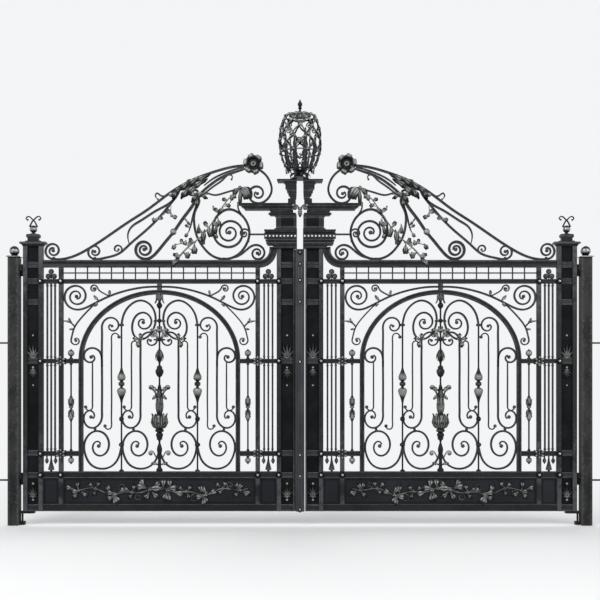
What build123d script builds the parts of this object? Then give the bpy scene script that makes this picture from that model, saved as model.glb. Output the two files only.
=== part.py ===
from build123d import *
import math
import os

# Wrought iron driveway gate: two hinged leaves with an arch of scrollwork each, a scrolled
# crest that rises to the middle, and the iron posts that carry them.
# The origin is the foot of the left post. X runs along the gate, Y points to the inside
# of the drive, to which the leaves open, and Z is up. All sizes are millimetres.

# Setting out along the gate
post_width = 110
clear_opening = 5600
hinge_gap = 35
meeting_gap = 104
astragal_clearance = 6
meeting_stile_width = 181
inner_reed_bay = 167
outer_reed_bay = 155
jamb_bar_width = 45
side_bay = 152
arch_bar = 47
hinge_stile_width = 200

# Heights above the ground
post_height = 2675
leaf_bottom = 140
bottom_rail_top = 210
dado_rail_bottom = 470
dado_rail_top = 537
lower_rail_bottom = 690
lower_rail_top = 740
mid_rail_bottom = 1616
mid_rail_top = 1662
arch_spring = 1650
arch_crown = 2352
second_rail_bottom = 2413
second_rail_top = 2459
top_rail_bottom = 2575
top_rail_top = 2648
meeting_stile_top = 2762
hinge_stile_top = 2810

# Sections of the bars, measured through the gate from face to face
stile_depth = 50
rail_depth = 40
bar_depth = 24
panel_thickness = 8
stile_bar = 45
inner_stile_bar = 18
reed_width = 18
reed_count = 3
scroll_bar = 17
fine_scroll_bar = 12
seat_gap = 0.3

# Hinges
barrel_radius = 12
pin_radius = 6
pivot_radius = 9
pin_clearance = 0.1
barrel_height = 60
hinge_setback = 30
pivot_arm_thickness = 22
pivot_arm_length = 110
upper_hinge = 2490
lower_hinge = 400

# Places that follow from the sizes above; across values run outwards from the meeting line
gate_centre = post_width / 2 + clear_opening / 2
leaf_inner = meeting_gap / 2
leaf_outer = clear_opening / 2 - hinge_gap
meeting_stile_edge = leaf_inner + meeting_stile_width
inner_jamb = meeting_stile_edge + inner_reed_bay
inner_leg = inner_jamb + jamb_bar_width + side_bay
hinge_stile_edge = leaf_outer - hinge_stile_width
outer_jamb = hinge_stile_edge - outer_reed_bay - jamb_bar_width
outer_leg = outer_jamb - side_bay - arch_bar
arch_centre = (inner_leg + outer_leg + arch_bar) / 2
arch_half = (outer_leg - inner_leg - arch_bar) / 2
inner_side_bay = (inner_jamb + jamb_bar_width + inner_leg) / 2
outer_side_bay = (outer_leg + arch_bar + outer_jamb) / 2
hinge_axis = clear_opening / 2 - hinge_gap / 2


def block(left, right, bottom, top, depth, middle=0):
    """A rectangular bar from left to right and bottom to top, centred on middle in Y."""
    size = (right - left, depth, top - bottom)
    return Pos((left + right) / 2, middle, (bottom + top) / 2) * Box(*size)


def turned(across, outline, middle=0):
    """A turned piece about a vertical line, from (height, radius) points up its side."""
    points = [(0, outline[0][0])]
    points += [(radius, height) for height, radius in outline]
    points.append((0, outline[-1][0]))
    face = make_face(Polyline(*points, close=True))
    return Pos(across, middle, 0) * revolve(Plane.XZ * face, axis=Axis.Z)


def ball_outline(height, radius, neck, steps=6):
    """The (height, radius) points of a ball that stands and ends on necks."""
    start = math.asin(neck / radius) - math.pi / 2
    turns = [start + (-2 * start) * step / steps for step in range(steps + 1)]
    return [(height + radius * math.sin(turn), radius * math.cos(turn)) for turn in turns]


def plate(outline_faces, depth, middle=0):
    """Flat pieces drawn in the plane of the gate, fused and given their depth in Y."""
    drawing = Sketch() + outline_faces
    return Pos(0, middle, 0) * extrude(Plane.XZ * drawing, amount=depth / 2, both=True)


# The posts, which stand in the ground and carry everything

cap_plate = 136
cap_plate_height = 15
cap_ball_radius = 50
cap_neck_radius = 20
tie_height = 16
tie_length = 150
tie_places = (450, 1820)
bearing_height = 35
bearing_depth = 50
bearing_floor = 12


def post():
    """The square post of one leaf, on the post's own line."""
    return block(-post_width / 2, post_width / 2, 0, post_height, post_width)


def post_cap():
    """The square cap plate with its neck and ball."""
    plate_top = post_height + cap_plate_height
    ball_middle = plate_top + cap_ball_radius
    square = block(-cap_plate / 2, cap_plate / 2, post_height, plate_top, cap_plate)
    square = chamfer(square.faces().sort_by(Axis.Z)[-1].edges(), cap_plate_height / 2)
    ball = turned(0, [(plate_top, cap_neck_radius)]
                  + ball_outline(ball_middle, cap_ball_radius, cap_neck_radius)[1:-1]
                  + [(ball_middle + cap_ball_radius, 1)])
    return square + ball


def wall_ties():
    """Two flat bars that run from the outer face of the post towards its masonry pier."""
    near = -post_width / 2
    return [block(near - tie_length, near, height - tie_height / 2, height + tie_height / 2,
                  bar_depth) for height in tie_places]


def hinge_brackets():
    """The post's half of the hinges: barrels with their pins, and the bearing at the foot."""
    axis_across = post_width / 2 + hinge_gap / 2
    pieces = []
    for height in (lower_hinge, upper_hinge):
        barrel = Pos(axis_across, hinge_setback, height + barrel_height / 2) * Cylinder(
            barrel_radius, barrel_height)
        web = block(post_width / 2, axis_across, height, height + barrel_height,
                    barrel_radius, hinge_setback)
        pin = Pos(axis_across, hinge_setback, height + barrel_height * 1.5) * Cylinder(
            pin_radius, barrel_height)
        pieces.append(barrel + web + pin)
    cup = block(post_width / 2, axis_across + bearing_depth / 2, 0, bearing_height,
                bearing_depth, hinge_setback)
    bore = Pos(axis_across, hinge_setback, bearing_floor + bearing_height / 2) * Cylinder(
        pivot_radius + pin_clearance, bearing_height)
    pieces.append(cup - bore)
    return pieces


# The framing of one leaf, drawn outwards from the meeting line at zero

cross_block = 44
cross_block_depth = 36
cross_block_heights = (500, 720, 1640, 2228, 2436, 2600)
stile_plate = 14
grille_pitch = 122
grille_bar = 13
grille_mid_rail = 2520


def stile(left, right, left_bar, right_bar, top):
    """A boxed stile: two upright bars, a set-back plate between them and cross blocks."""
    pieces = [
        block(left, left + left_bar, leaf_bottom, top, stile_depth),
        block(right - right_bar, right, leaf_bottom, top, stile_depth),
        block(left + left_bar, right - right_bar, leaf_bottom, top, stile_plate),
        block(left + left_bar, right - right_bar, leaf_bottom, bottom_rail_top, cross_block_depth),
    ]
    pieces += [block(left + left_bar, right - right_bar, height - cross_block / 2,
                     height + cross_block / 2, cross_block_depth)
               for height in cross_block_heights]
    return Part() + pieces


def meeting_stile():
    """The stile beside the meeting line."""
    return stile(leaf_inner, meeting_stile_edge, inner_stile_bar, stile_bar, meeting_stile_top)


def hinge_stile():
    """The stile beside the post."""
    return stile(hinge_stile_edge, leaf_outer, stile_bar, stile_bar, hinge_stile_top)


def hinge_straps():
    """The leaf's half of the hinges: two barrels on webs and the pivot arm at the foot."""
    outer = leaf_outer
    pieces = []
    for height in (lower_hinge, upper_hinge):
        bottom = height + barrel_height + seat_gap
        barrel = Pos(hinge_axis, hinge_setback, bottom + barrel_height / 2) * Cylinder(
            barrel_radius, barrel_height)
        web = block(outer, hinge_axis, bottom, bottom + barrel_height,
                    barrel_radius, stile_depth / 2 - barrel_radius / 2)
        bore = Pos(hinge_axis, hinge_setback, bottom + barrel_height / 2) * Cylinder(
            pin_radius + pin_clearance, barrel_height)
        pieces.append(barrel + web - bore)
    arm_bottom = leaf_bottom - pivot_arm_thickness
    arm_front = -stile_depth / 2
    arm = block(outer - pivot_arm_length, hinge_axis, arm_bottom, leaf_bottom,
                hinge_setback + barrel_radius - arm_front,
                (hinge_setback + barrel_radius + arm_front) / 2)
    round_end = Pos(hinge_axis, hinge_setback, (arm_bottom + leaf_bottom) / 2) * Cylinder(
        barrel_radius, pivot_arm_thickness)
    pivot_bottom = bearing_floor + seat_gap
    pivot = Pos(hinge_axis, hinge_setback, (pivot_bottom + arm_bottom) / 2) * Cylinder(
        pivot_radius, arm_bottom - pivot_bottom)
    pieces.append(arm + round_end + pivot)
    return pieces


def kick_rails():
    """The bottom rail and the dado rail, above and below the kick panel."""
    return [block(meeting_stile_edge, hinge_stile_edge, bottom, top, rail_depth)
            for bottom, top in ((leaf_bottom, bottom_rail_top), (dado_rail_bottom, dado_rail_top))]


def kick_panel():
    """The sheet panels between the bottom rail and the dado rail, one in each bay."""
    bays = ((meeting_stile_edge, inner_jamb), (inner_jamb + jamb_bar_width, outer_jamb),
            (outer_jamb + jamb_bar_width, hinge_stile_edge))
    return [block(left, right, bottom_rail_top, dado_rail_bottom, panel_thickness)
            for left, right in bays]


def jamb_bars():
    """The upright bars beside the arch, in lengths that end against the long rails."""
    lengths = ((bottom_rail_top, dado_rail_bottom), (dado_rail_top, second_rail_bottom),
               (second_rail_top, top_rail_bottom))
    return [block(left, left + jamb_bar_width, bottom, top, rail_depth)
            for left in (inner_jamb, outer_jamb) for bottom, top in lengths]


def reed_bays():
    """The places (left, right) of the two narrow bays between a stile and a jamb bar."""
    return ((meeting_stile_edge, inner_jamb), (outer_jamb + jamb_bar_width, hinge_stile_edge))


def reeded_bars():
    """The rows of slim bars between each stile and the jamb bar beside it."""
    pieces = []
    for left, right in reed_bays():
        pitch = (right - left) / (reed_count + 1)
        for reed in range(reed_count):
            middle = left + pitch * (reed + 1)
            for bottom, top in ((lower_rail_top, mid_rail_bottom),
                                (mid_rail_top, second_rail_bottom)):
                pieces.append(block(middle - reed_width / 2, middle + reed_width / 2,
                                    bottom, top, reed_width))
    return pieces


def cross_rails():
    """The mid and lower rails, which join the stiles, the jamb bars and the arch."""
    bays = ((meeting_stile_edge, inner_jamb), (inner_jamb + jamb_bar_width, inner_leg),
            (outer_leg + arch_bar, outer_jamb), (outer_jamb + jamb_bar_width, hinge_stile_edge))
    return [block(left, right, bottom, top, rail_depth) for left, right in bays
            for bottom, top in ((lower_rail_bottom, lower_rail_top),
                                (mid_rail_bottom, mid_rail_top))]


def grille_rail():
    """The second rail and the row of short bars that stands on it."""
    pieces = [block(meeting_stile_edge, hinge_stile_edge, second_rail_bottom,
                    second_rail_top, rail_depth)]
    left = inner_jamb + jamb_bar_width
    right = outer_jamb
    pieces.append(block(left, right, grille_mid_rail - grille_bar / 2,
                        grille_mid_rail + grille_bar / 2, grille_bar))
    spaces = round((right - left) / grille_pitch)
    for bar in range(1, spaces):
        middle = left + (right - left) * bar / spaces
        pieces.append(block(middle - grille_bar / 2, middle + grille_bar / 2,
                            second_rail_top, top_rail_bottom, grille_bar))
    pieces += [trefoil((left + right) / 2) for left, right in reed_bays()]
    return Part() + pieces


def trefoil(across):
    """The flat three-lobed leaf that stands on the second rail in a narrow bay."""
    middle = second_rail_top + trefoil_height
    lobes = [Pos(across + aside * trefoil_lobe, middle + up * trefoil_lobe)
             * Circle(trefoil_lobe) for aside, up in ((0, 0.9), (-1.3, -0.4), (1.3, -0.4))]
    stem = Pos(across, (second_rail_top + middle) / 2) * Rectangle(
        grille_bar * 2, middle - second_rail_top)
    return plate(lobes + [stem], grille_bar)


def arch_outline(half_width, crown):
    """The outline of the arch and its legs, closed along the top of the dado rail."""
    left, right = arch_centre - half_width, arch_centre + half_width
    curve = EllipticalCenterArc((arch_centre, arch_spring), half_width, crown - arch_spring,
                                start_angle=0, arc_size=180)
    foot = Polyline((left, arch_spring), (left, dado_rail_top), (right, dado_rail_top),
                    (right, arch_spring))
    return make_face([curve, foot])


def arch_frame():
    """The arch: a flat bar bent round the crown, with legs that stand on the dado rail."""
    outer = arch_outline(arch_half + arch_bar, arch_crown)
    inner = arch_outline(arch_half, arch_crown - arch_bar)
    return plate([outer - inner], rail_depth)


# The head of the leaf: top rail, capital, cornice and the finial on the hinge stile

top_rail_depth = 60
top_rail_lip = 7
scroll_end_inside = 100
capital_steps = ((2762, 2777, 306, 84), (2777, 2793, 270, 66), (2793, 2823, 337, 90),
                 (2823, 2835, 320, 70), (2835, 2850, 345, 96), (2850, 2861, 330, 60))
capital_start = 30
frieze_bottom = 2861
frieze_top = 2923
frieze_end = 353
frieze_depth = 76
frieze_hole_radius = 8.5
frieze_holes = 9
upper_capital = ((2923, 2950, 30, 358, 92), (2950, 3091, 69, 245, 84),
                 (3091, 3118, 69, 315, 72))
cornice_steps = ((3118, 3148, 95, 300, 80), (3148, 3170, 100, 560, 96),
                 (3170, 3192, 100, 585, 116), (3192, 3210, 100, 606, 132),
                 (3210, 3260, 58, 120, 64), (3260, 3290, 45, 105, 76), (3290, 3325, 40, 118, 90),
                 (3325, 3363, 39, 138, 104), (3363, 3412, 39, 146, 84),
                 (3412, 3426, 39, 160, 96), (3426, 3450, 31, 230, 116))
stile_cap_overhang = 32
stile_cap_height = 20
stile_cap_depth = 84
stile_head_height = 63
stile_head_width = 150
stile_ball_radius = 38
stile_ball_neck = 13
stile_ball_lift = 29
horn_reach = 40
horn_height = 78
horn_end = 12


def top_rail():
    """The moulded top rail, whose inner end curves up to stand beside the stile."""
    height = top_rail_top - top_rail_bottom
    middle = meeting_stile_edge + height + scroll_end_inside
    centre_height = top_rail_top + scroll_end_inside
    corner = Pos(middle, centre_height) * (Circle(scroll_end_inside + height)
                                           - Circle(scroll_end_inside))
    reach = 2 * (scroll_end_inside + height)
    quarter = Pos(middle - reach / 2, centre_height - reach / 2) * Rectangle(reach, reach)
    rise = meeting_stile_top - centre_height
    upright = Pos(meeting_stile_edge + height / 2, centre_height + rise / 2) * Rectangle(
        height, rise)
    straight = Pos((middle + hinge_stile_edge) / 2, (top_rail_bottom + top_rail_top) / 2)
    straight = straight * Rectangle(hinge_stile_edge - middle, height)
    rail = plate([(corner & quarter) + upright + straight], rail_depth)
    lip = block(middle, hinge_stile_edge, top_rail_top - top_rail_lip * 2, top_rail_top,
                top_rail_depth)
    fillet_strip = block(middle, hinge_stile_edge, top_rail_bottom,
                         top_rail_bottom + top_rail_lip * 2, top_rail_depth - 2 * top_rail_lip)
    return rail + lip + fillet_strip


def meeting_capital():
    """The stepped capital over the meeting stile, with its pierced frieze."""
    pieces = [block(capital_start, end, bottom, top, depth)
              for bottom, top, end, depth in capital_steps]
    frieze = block(capital_start, frieze_end, frieze_bottom, frieze_top, frieze_depth)
    pitch = (frieze_end - capital_start) / frieze_holes
    hole_height = (frieze_bottom + frieze_top) / 2
    for hole in range(frieze_holes):
        across = capital_start + pitch * (hole + 0.5)
        frieze -= Pos(across, 0, hole_height) * Rot(90, 0, 0) * Cylinder(
            frieze_hole_radius, frieze_depth)
    pieces.append(frieze)
    pieces += [block(left, right, bottom, top, depth)
               for bottom, top, left, right, depth in upper_capital]
    return Part() + pieces


def head_cornice():
    """The wide cornice on the capital and the stepped pedestal that rises from it."""
    return Part() + [block(left, right, bottom, top, depth)
                     for bottom, top, left, right, depth in cornice_steps]


def hinge_stile_finial():
    """The cap plate, block and ball that finish the hinge stile."""
    middle = leaf_outer - hinge_stile_width / 2
    cap_top = hinge_stile_top + stile_cap_height
    half = hinge_stile_width / 2 + stile_cap_overhang
    cap = block(middle - half, middle + half, hinge_stile_top, cap_top, stile_cap_depth)
    head_top = cap_top + stile_head_height
    head = block(middle - stile_head_width / 2, middle + stile_head_width / 2, cap_top,
                 head_top, stile_depth)
    ball_middle = head_top + stile_ball_lift + stile_ball_radius
    ball = turned(middle, [(head_top, stile_ball_neck * 2), (head_top + 10, stile_ball_neck)]
                  + ball_outline(ball_middle, stile_ball_radius, stile_ball_neck)
                  + [(ball_middle + stile_ball_radius + 12, stile_ball_neck / 2)])
    horn_foot = ball_middle + stile_ball_radius * 0.8
    horns = []
    for side in (1, -1):
        foot = (middle + side * stile_ball_neck, horn_foot)
        tip = (foot[0] + side * horn_reach, foot[1] + horn_height)
        horns.append(band([foot, (foot[0] + side * horn_reach * 0.35, foot[1] + horn_height / 2),
                           tip], fine_scroll_bar))
        horns.append(dot(tip, horn_end))
    return cap + head + ball + plate(horns, fine_scroll_bar)


# Turned pieces and bosses

baluster_outline = ((537, 26), (560, 30), (590, 18), (755, 13), (868, 14), (875, 22),
                    (900, 30), (925, 20), (943, 36), (968, 40), (976, 46), (1008, 66),
                    (1045, 75), (1085, 74), (1111, 66), (1125, 30), (1390, 16), (1500, 14), (1510, 28), (1538, 40), (1566, 28),
                    (1580, 14), (1640, 16), (1690, 33), (1750, 14), (1840, 13), (1853, 24),
                    (1866, 13), (2030, 13), (2042, 24), (2054, 13), (2170, 13), (2195, 27),
                    (2220, 13), (2245, 16), (2270, 22), (2301, 12))
side_outline = ((740, 14), (1040, 12), (1070, 24), (1150, 16), (1170, 12), (1180, 22),
                (1190, 12), (1215, 22), (1290, 12), (1616, 14))
side_ball_radius = 33
drop_ball_radius = 30
ball_neck = 12
boss_radius = 33
boss_height = 22
rosette_radius = 54
rosette_petals = 6
petal_radius = 19
rosette_thickness = 14
pendant_radius = 17
pendant_neck = 6
pendant_drop = 55
spire_height = 95
trefoil_lobe = 23
trefoil_height = 68
astragal_half = meeting_gap / 2 - astragal_clearance - 1
astragal_depth = 50
astragal_boss_radius = 30
astragal_rib = 12
astragal_bosses = (162, 494, 705, 1631, 2228, 2443, 2605)


def placed_baluster():
    """The baluster's outline, stretched from the dado rail to the crown of the arch."""
    foot = baluster_outline[0][0]
    reach = arch_crown - arch_bar - seat_gap - dado_rail_top
    drawn = baluster_outline[-1][0] - foot
    return [(dado_rail_top + (height - foot) * reach / drawn, radius)
            for height, radius in baluster_outline]


def centre_baluster():
    """The turned baluster in the middle of the arch, from the dado rail to the crown."""
    return turned(arch_centre, placed_baluster())


def side_balusters():
    """In each side bay: a turned bar, the ball on the mid rail and the drop below."""
    pieces = []
    foot = side_outline[0][0]
    stretch = (mid_rail_bottom - lower_rail_top) / (side_outline[-1][0] - foot)
    outline = [(lower_rail_top + (height - foot) * stretch, radius)
               for height, radius in side_outline]
    for across in (inner_side_bay, outer_side_bay):
        pieces.append(turned(across, outline))
        ball_middle = mid_rail_top + side_ball_radius + ball_neck * 2
        pieces.append(turned(across, [(mid_rail_top, ball_neck * 1.6)]
                             + ball_outline(ball_middle, side_ball_radius, ball_neck)[:-1]
                             + [(ball_middle + side_ball_radius, 1)]))
        drop_middle = lower_rail_bottom - drop_ball_radius - ball_neck
        pieces.append(turned(across, [(drop_middle - drop_ball_radius, 1)]
                             + ball_outline(drop_middle, drop_ball_radius, ball_neck)[1:]
                             + [(lower_rail_bottom, ball_neck)]))
    for left, right in reed_bays():
        for share in (0.25, 0.75):
            across = left + (right - left) * share
            middle = lower_rail_bottom - pendant_drop
            pieces.append(turned(across, [(middle - pendant_radius, 1)]
                                 + ball_outline(middle, pendant_radius, pendant_neck)[1:]
                                 + [(lower_rail_bottom - 15, pendant_neck * 2),
                                    (lower_rail_bottom, pendant_neck * 2)]))
        pieces.append(turned((left + right) / 2, [
            (dado_rail_top, 20), (dado_rail_top + 8, 18), (dado_rail_top + 14, 11),
            (dado_rail_top + spire_height * 0.45, 15), (dado_rail_top + spire_height, 2)]))
    return pieces


def domed_boss(across, height, front, radius=boss_radius):
    """A low domed boss with its flat back on a front face."""
    outline = ((0, radius), (boss_height * 0.6, radius * 0.75), (boss_height, 0.3 * radius))
    dome = turned(0, outline)
    return Pos(across, front, height) * Rot(90, 0, 0) * dome


def bosses():
    """The round bosses and four-petalled rosettes where the rails cross the uprights."""
    inner_bar = meeting_stile_edge - stile_bar / 2
    outer_bar = hinge_stile_edge + stile_bar / 2
    inner_jamb_middle = inner_jamb + jamb_bar_width / 2
    outer_jamb_middle = outer_jamb + jamb_bar_width / 2
    second_rail = (second_rail_bottom + second_rail_top) / 2
    mid_rail = (mid_rail_bottom + mid_rail_top) / 2
    lower_rail = (lower_rail_bottom + lower_rail_top) / 2
    dado_rail = (dado_rail_bottom + dado_rail_top) / 2
    pieces = []
    for side in (-1, 1):
        stile_face = stile_depth / 2
        rail_face = rail_depth / 2
        for height in (second_rail, mid_rail, lower_rail, dado_rail):
            for across in (inner_bar, outer_bar):
                pieces.append(facing_boss(across, height, stile_face, side))
        for across in (inner_jamb_middle, outer_jamb_middle):
            for height in (second_rail, dado_rail):
                pieces.append(facing_boss(across, height, rail_face, side))
            for height in (mid_rail, lower_rail):
                pieces.append(rosette(across, height, rail_face, side))
    return pieces


def facing_boss(across, height, face, side):
    """A boss on the front of the gate, or on the back when side is 1."""
    boss = domed_boss(0, 0, 0)
    if side > 0:
        boss = Rot(0, 0, 180) * boss
    return Pos(across, side * face, height) * boss


def rosette(across, height, face, side):
    """A flat six-petalled rosette with a domed middle, on a rail's front or back face."""
    reach = rosette_radius - petal_radius
    petals = PolarLocations(reach, rosette_petals, start_angle=30) * Circle(petal_radius)
    disc = Pos(across, height) * (Sketch() + petals + Circle(reach))
    middle = side * (face + rosette_thickness / 2)
    return plate([disc], rosette_thickness, middle)


def astragal():
    """The ribbed bar that covers the meeting line, carried by the left leaf."""
    back = stile_plate / 2
    front = back - astragal_depth
    top = meeting_stile_top - astragal_clearance - 2
    web = block(-astragal_half, leaf_inner, leaf_bottom, top, stile_plate)
    face = block(-astragal_half, astragal_half, leaf_bottom, top, astragal_depth,
                 (front + back) / 2)
    rib = block(-astragal_rib, astragal_rib, leaf_bottom, top, astragal_rib, front)
    pieces = [face, web, rib]
    pieces += [domed_boss(0, height, front, astragal_boss_radius) for height in astragal_bosses]
    return Part() + pieces


# Scrolls. Each pattern is drawn on squares of 10 mm, across from the middle of its panel and
# up from the ground, and is stretched to the panel that it fills.

square = 10
drawn_arch_half = 76.1
drawn_arch_foot = 53.7
drawn_arch_crown = 230.5
drawn_leaf_width = 271.3
drawn_rail_top = 264.8

# the turned urn and drop in the knotted bar: squares up the drawing, and radius
knotted_bar = 38
knot_outline = ((126.4, 14), (128, 24), (131, 38), (134, 43), (136.6, 36), (138.6, 16),
                (140.2, 29), (141.8, 29), (143.2, 15), (145.4, 30), (148, 39), (150.4, 36),
                (153.2, 24), (156, 14))


def curl(start, eye, turns, end_radius, tall=1):
    """Points of a spiral from start round the eye: its radius shrinks evenly to end_radius.

    Positive turns run anticlockwise as seen from the front, and tall stretches it upwards."""
    across, up = start[0] - eye[0], (start[1] - eye[1]) / tall
    radius, angle = math.hypot(across, up), math.atan2(up, across)
    steps = max(3, round(abs(turns) * 10))
    points = []
    for step in range(1, steps + 1):
        share = step / steps
        reach = radius + (end_radius - radius) * share
        turn = angle + 2 * math.pi * turns * share
        points.append((eye[0] + reach * math.cos(turn), eye[1] + reach * tall * math.sin(turn)))
    return points


def upright(across, start, end):
    """Points of a straight upright run, close together at its ends so that it stays straight."""
    return [(across, start + (end - start) * share) for share in (0, 0.05, 0.15, 0.5, 0.85, 0.95, 1)]


def band(points, width):
    """The face of a flat bar bent along a smooth line through the points."""
    left, right = [], []
    last = len(points) - 1
    for place, (across, up) in enumerate(points):
        before, after = points[max(place - 1, 0)], points[min(place + 1, last)]
        into = (across - before[0], up - before[1])
        out = (after[0] - across, after[1] - up)
        near, far = math.hypot(*into), math.hypot(*out)
        weight_in = far / near if near else 0
        weight_out = near / far if far else 0
        if not near or not far:
            weight_in = weight_out = 1
        run = (into[0] * weight_in + out[0] * weight_out, into[1] * weight_in + out[1] * weight_out)
        length = math.hypot(*run)
        normal = (-run[1] / length * width / 2, run[0] / length * width / 2)
        left.append((across + normal[0], up + normal[1]))
        right.append((across - normal[0], up - normal[1]))
    if last == 1:
        return make_face(Polyline(left[0], left[1], right[1], right[0], close=True))
    edges = [Spline(*left), Line(left[-1], right[-1]), Spline(*right), Line(right[0], left[0])]
    return make_face(edges)


def dot(place, radius):
    """The round end or collar of a bar."""
    return Pos(*place) * Circle(radius)


class Drawing:
    """A pattern drawn in squares and stretched to its panel; both_sides repeats it mirrored."""

    def __init__(self, middle, foot, across_scale, up_scale, drawn_foot, both_sides):
        self.middle = middle
        self.foot = foot
        self.scale = (across_scale, up_scale)
        self.drawn_foot = drawn_foot
        self.both_sides = both_sides
        self.faces = []

    def place(self, point, side=1):
        across, up = point
        return (self.middle + side * across * self.scale[0],
                self.foot + (up - self.drawn_foot) * self.scale[1])

    def sides(self):
        return (1, -1) if self.both_sides else (1,)

    def bar(self, points, width=scroll_bar, ends=()):
        """A bent bar, with a round end of the given (place, radius) pairs."""
        for side in self.sides():
            self.faces.append(band([self.place(point, side) for point in points], width))
            self.faces += [dot(self.place(place, side), radius) for place, radius in ends]


def arch_scrollwork():
    """The scrolls and upright bars that fill the arch, each half a mirror of the other."""
    drawing = Drawing(arch_centre, dado_rail_top, arch_half / drawn_arch_half,
                      (arch_crown - arch_bar - dado_rail_top)
                      / (drawn_arch_crown - drawn_arch_foot), drawn_arch_foot, True)
    # the slim bar that stands on the dado rail, in two lengths with the knot between them
    drawing.bar([(knotted_bar, drawn_arch_foot), (knotted_bar, knot_outline[0][0])],
                fine_scroll_bar, [((knotted_bar, 106), 16), ((knotted_bar, 80.3), 16)])
    drawing.bar([(knotted_bar, knot_outline[-1][0]), (knotted_bar, 200)], fine_scroll_bar,
                [((knotted_bar, 200), 22)])
    # the inner and outer main bars, hooked outwards at the foot
    for across, top, eye_across in ((19, 184.5, 9), (57.5, 199, 47.5)):
        foot_eye = (across + 11, 108)
        drawing.bar(curl((across, top), (eye_across, top), 1.15, 1.9)[::-1]
                    + upright(across, top, 108) + curl((across, 108), foot_eye, 1.1, 2.4, 1.2),
                    scroll_bar, [(foot_eye, 26)])
    # the slim bars between them, with a ball at each hooked end
    for across, top, top_reach, foot, foot_reach in ((28, 181, 6, 118, 7.3),
                                                     (48, 188, 7.4, 99, 6.5),
                                                     (67, 162.5, 0, 118, 6.8)):
        points = upright(across, top, foot)
        ends = [((across + foot_reach, foot), 25)]
        if top_reach:
            ends.append(((across - top_reach, top), 25))
            points = curl((across, top), (across - top_reach / 2, top), 0.45,
                          top_reach / 2)[::-1] + points
        points += curl((across, foot), (across + foot_reach / 2, foot), 0.45, foot_reach / 2)
        drawing.bar(points, fine_scroll_bar, ends)
    # the scroll that springs from the outer main bar
    drawing.bar([(57.5, 158), (57.5, 163)] + curl((57.6, 168), (68.4, 168), -1.15, 2.2),
                scroll_bar, [((68.4, 168), 25)])
    # the row of tall scrolls along the foot
    for first, offset in (((1.2, 71), 0), ((38.3, 77.5), 38.5)):
        run = [(across + offset, up) for across, up in
               ((4.6, 63.5), (11, 58), (20, 56.3), (29.5, 60), (35.2, 69), (36.8, 80))]
        eye = (22.3 + offset, 79)
        drawing.bar([first] + run + curl(run[-1], eye, 1.4, 2.2, 1.2), scroll_bar, [(eye, 26)])
    # the great scroll in the head of the arch
    drawing.bar([(38, 200), (35.5, 211), (28.5, 220.5), (19, 224.5), (9.5, 220.5), (4.6, 212),
                 (4.2, 202), (8, 192.5), (16, 186.2), (23.5, 187.5), (27, 194), (26.6, 203),
                 (22.5, 210), (16, 212.4)] + curl((16, 212.4), (16.2, 202.6), 1.1, 2.2),
                scroll_bar, [((16.2, 202.6), 25)])
    opening = arch_outline(arch_half - seat_gap, arch_crown - arch_bar - seat_gap)
    flat_work = plate([(Sketch() + drawing.faces) & opening - baluster_shadow()], bar_depth)
    knots = [turned(drawing.place((knotted_bar, 0), side)[0],
                    [(drawing.place((0, height))[1], radius) for height, radius in knot_outline])
             for side in (1, -1)]
    return [flat_work] + knots


def baluster_shadow():
    """The outline of the centre baluster as seen from the front, with room to seat against."""
    side = [(radius + seat_gap, height) for height, radius in placed_baluster()]
    low, high = side[0][1] - 1, side[-1][1] + 1
    half = [(0, low), (side[0][0], low)] + side + [(side[-1][0], high), (0, high)]
    outline = [(arch_centre + across, up) for across, up in half]
    mirrored = [(arch_centre - across, up) for across, up in half]
    return make_face(Polyline(*outline, close=True)) + make_face(Polyline(*mirrored, close=True))


def spandrel_scrolls():
    """The scrolls between the arch, the jamb bars and the second rail, and the apex collar."""
    drawing = Drawing(arch_centre, arch_spring, arch_half / drawn_arch_half,
                      (second_rail_bottom - arch_spring) / 76.3, 165, True)
    drawing.bar([(0, 238.2), (12, 238), (25, 236.2), (50, 228.8), (68, 220), (83, 215.4)]
                + curl((83, 215.4), (83, 228.6), 2, 2.4), scroll_bar, [((83, 228.6), 26)])
    drawing.bar([(50, 228.8), (56.5, 232), (61.3, 236)]
                + curl((61.8, 237), (65.6, 236.4), -1.1, 1.8), fine_scroll_bar,
                [((65.6, 236.4), 20)])
    drawing.bar([(62, 223.5), (71.5, 214.4), (79, 206.2), (85.4, 196.5), (88, 187)]
                + curl((88, 187), (83.6, 184.4), -1, 1.9), fine_scroll_bar,
                [((83.6, 184.4), 22)])
    drawing.bar([(84.5, 198), (89, 202.5), (95.8, 204)], fine_scroll_bar, [((89, 203), 22)])
    rectangle = Pos((inner_jamb + jamb_bar_width + outer_jamb) / 2,
                    (arch_spring + second_rail_bottom) / 2) * Rectangle(
        outer_jamb - inner_jamb - jamb_bar_width - 2 * seat_gap,
        second_rail_bottom - arch_spring - 2 * seat_gap)
    field = rectangle - arch_outline(arch_half + arch_bar + seat_gap, arch_crown + seat_gap)
    collar = Pos(arch_centre, (arch_crown + second_rail_bottom) / 2) * Rectangle(
        arch_bar, second_rail_bottom - arch_crown)
    return plate([(Sketch() + drawing.faces + collar) & field], bar_depth)


flower_place = (46.4, 360)
flower_radius = 100
lily_petal = 24


def crest_drawing():
    """The crest is drawn across from the meeting line and up from the top rail."""
    return Drawing(0, top_rail_top, (leaf_outer - leaf_inner) / (drawn_leaf_width * square) * square,
                   square, drawn_rail_top, False)


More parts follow.
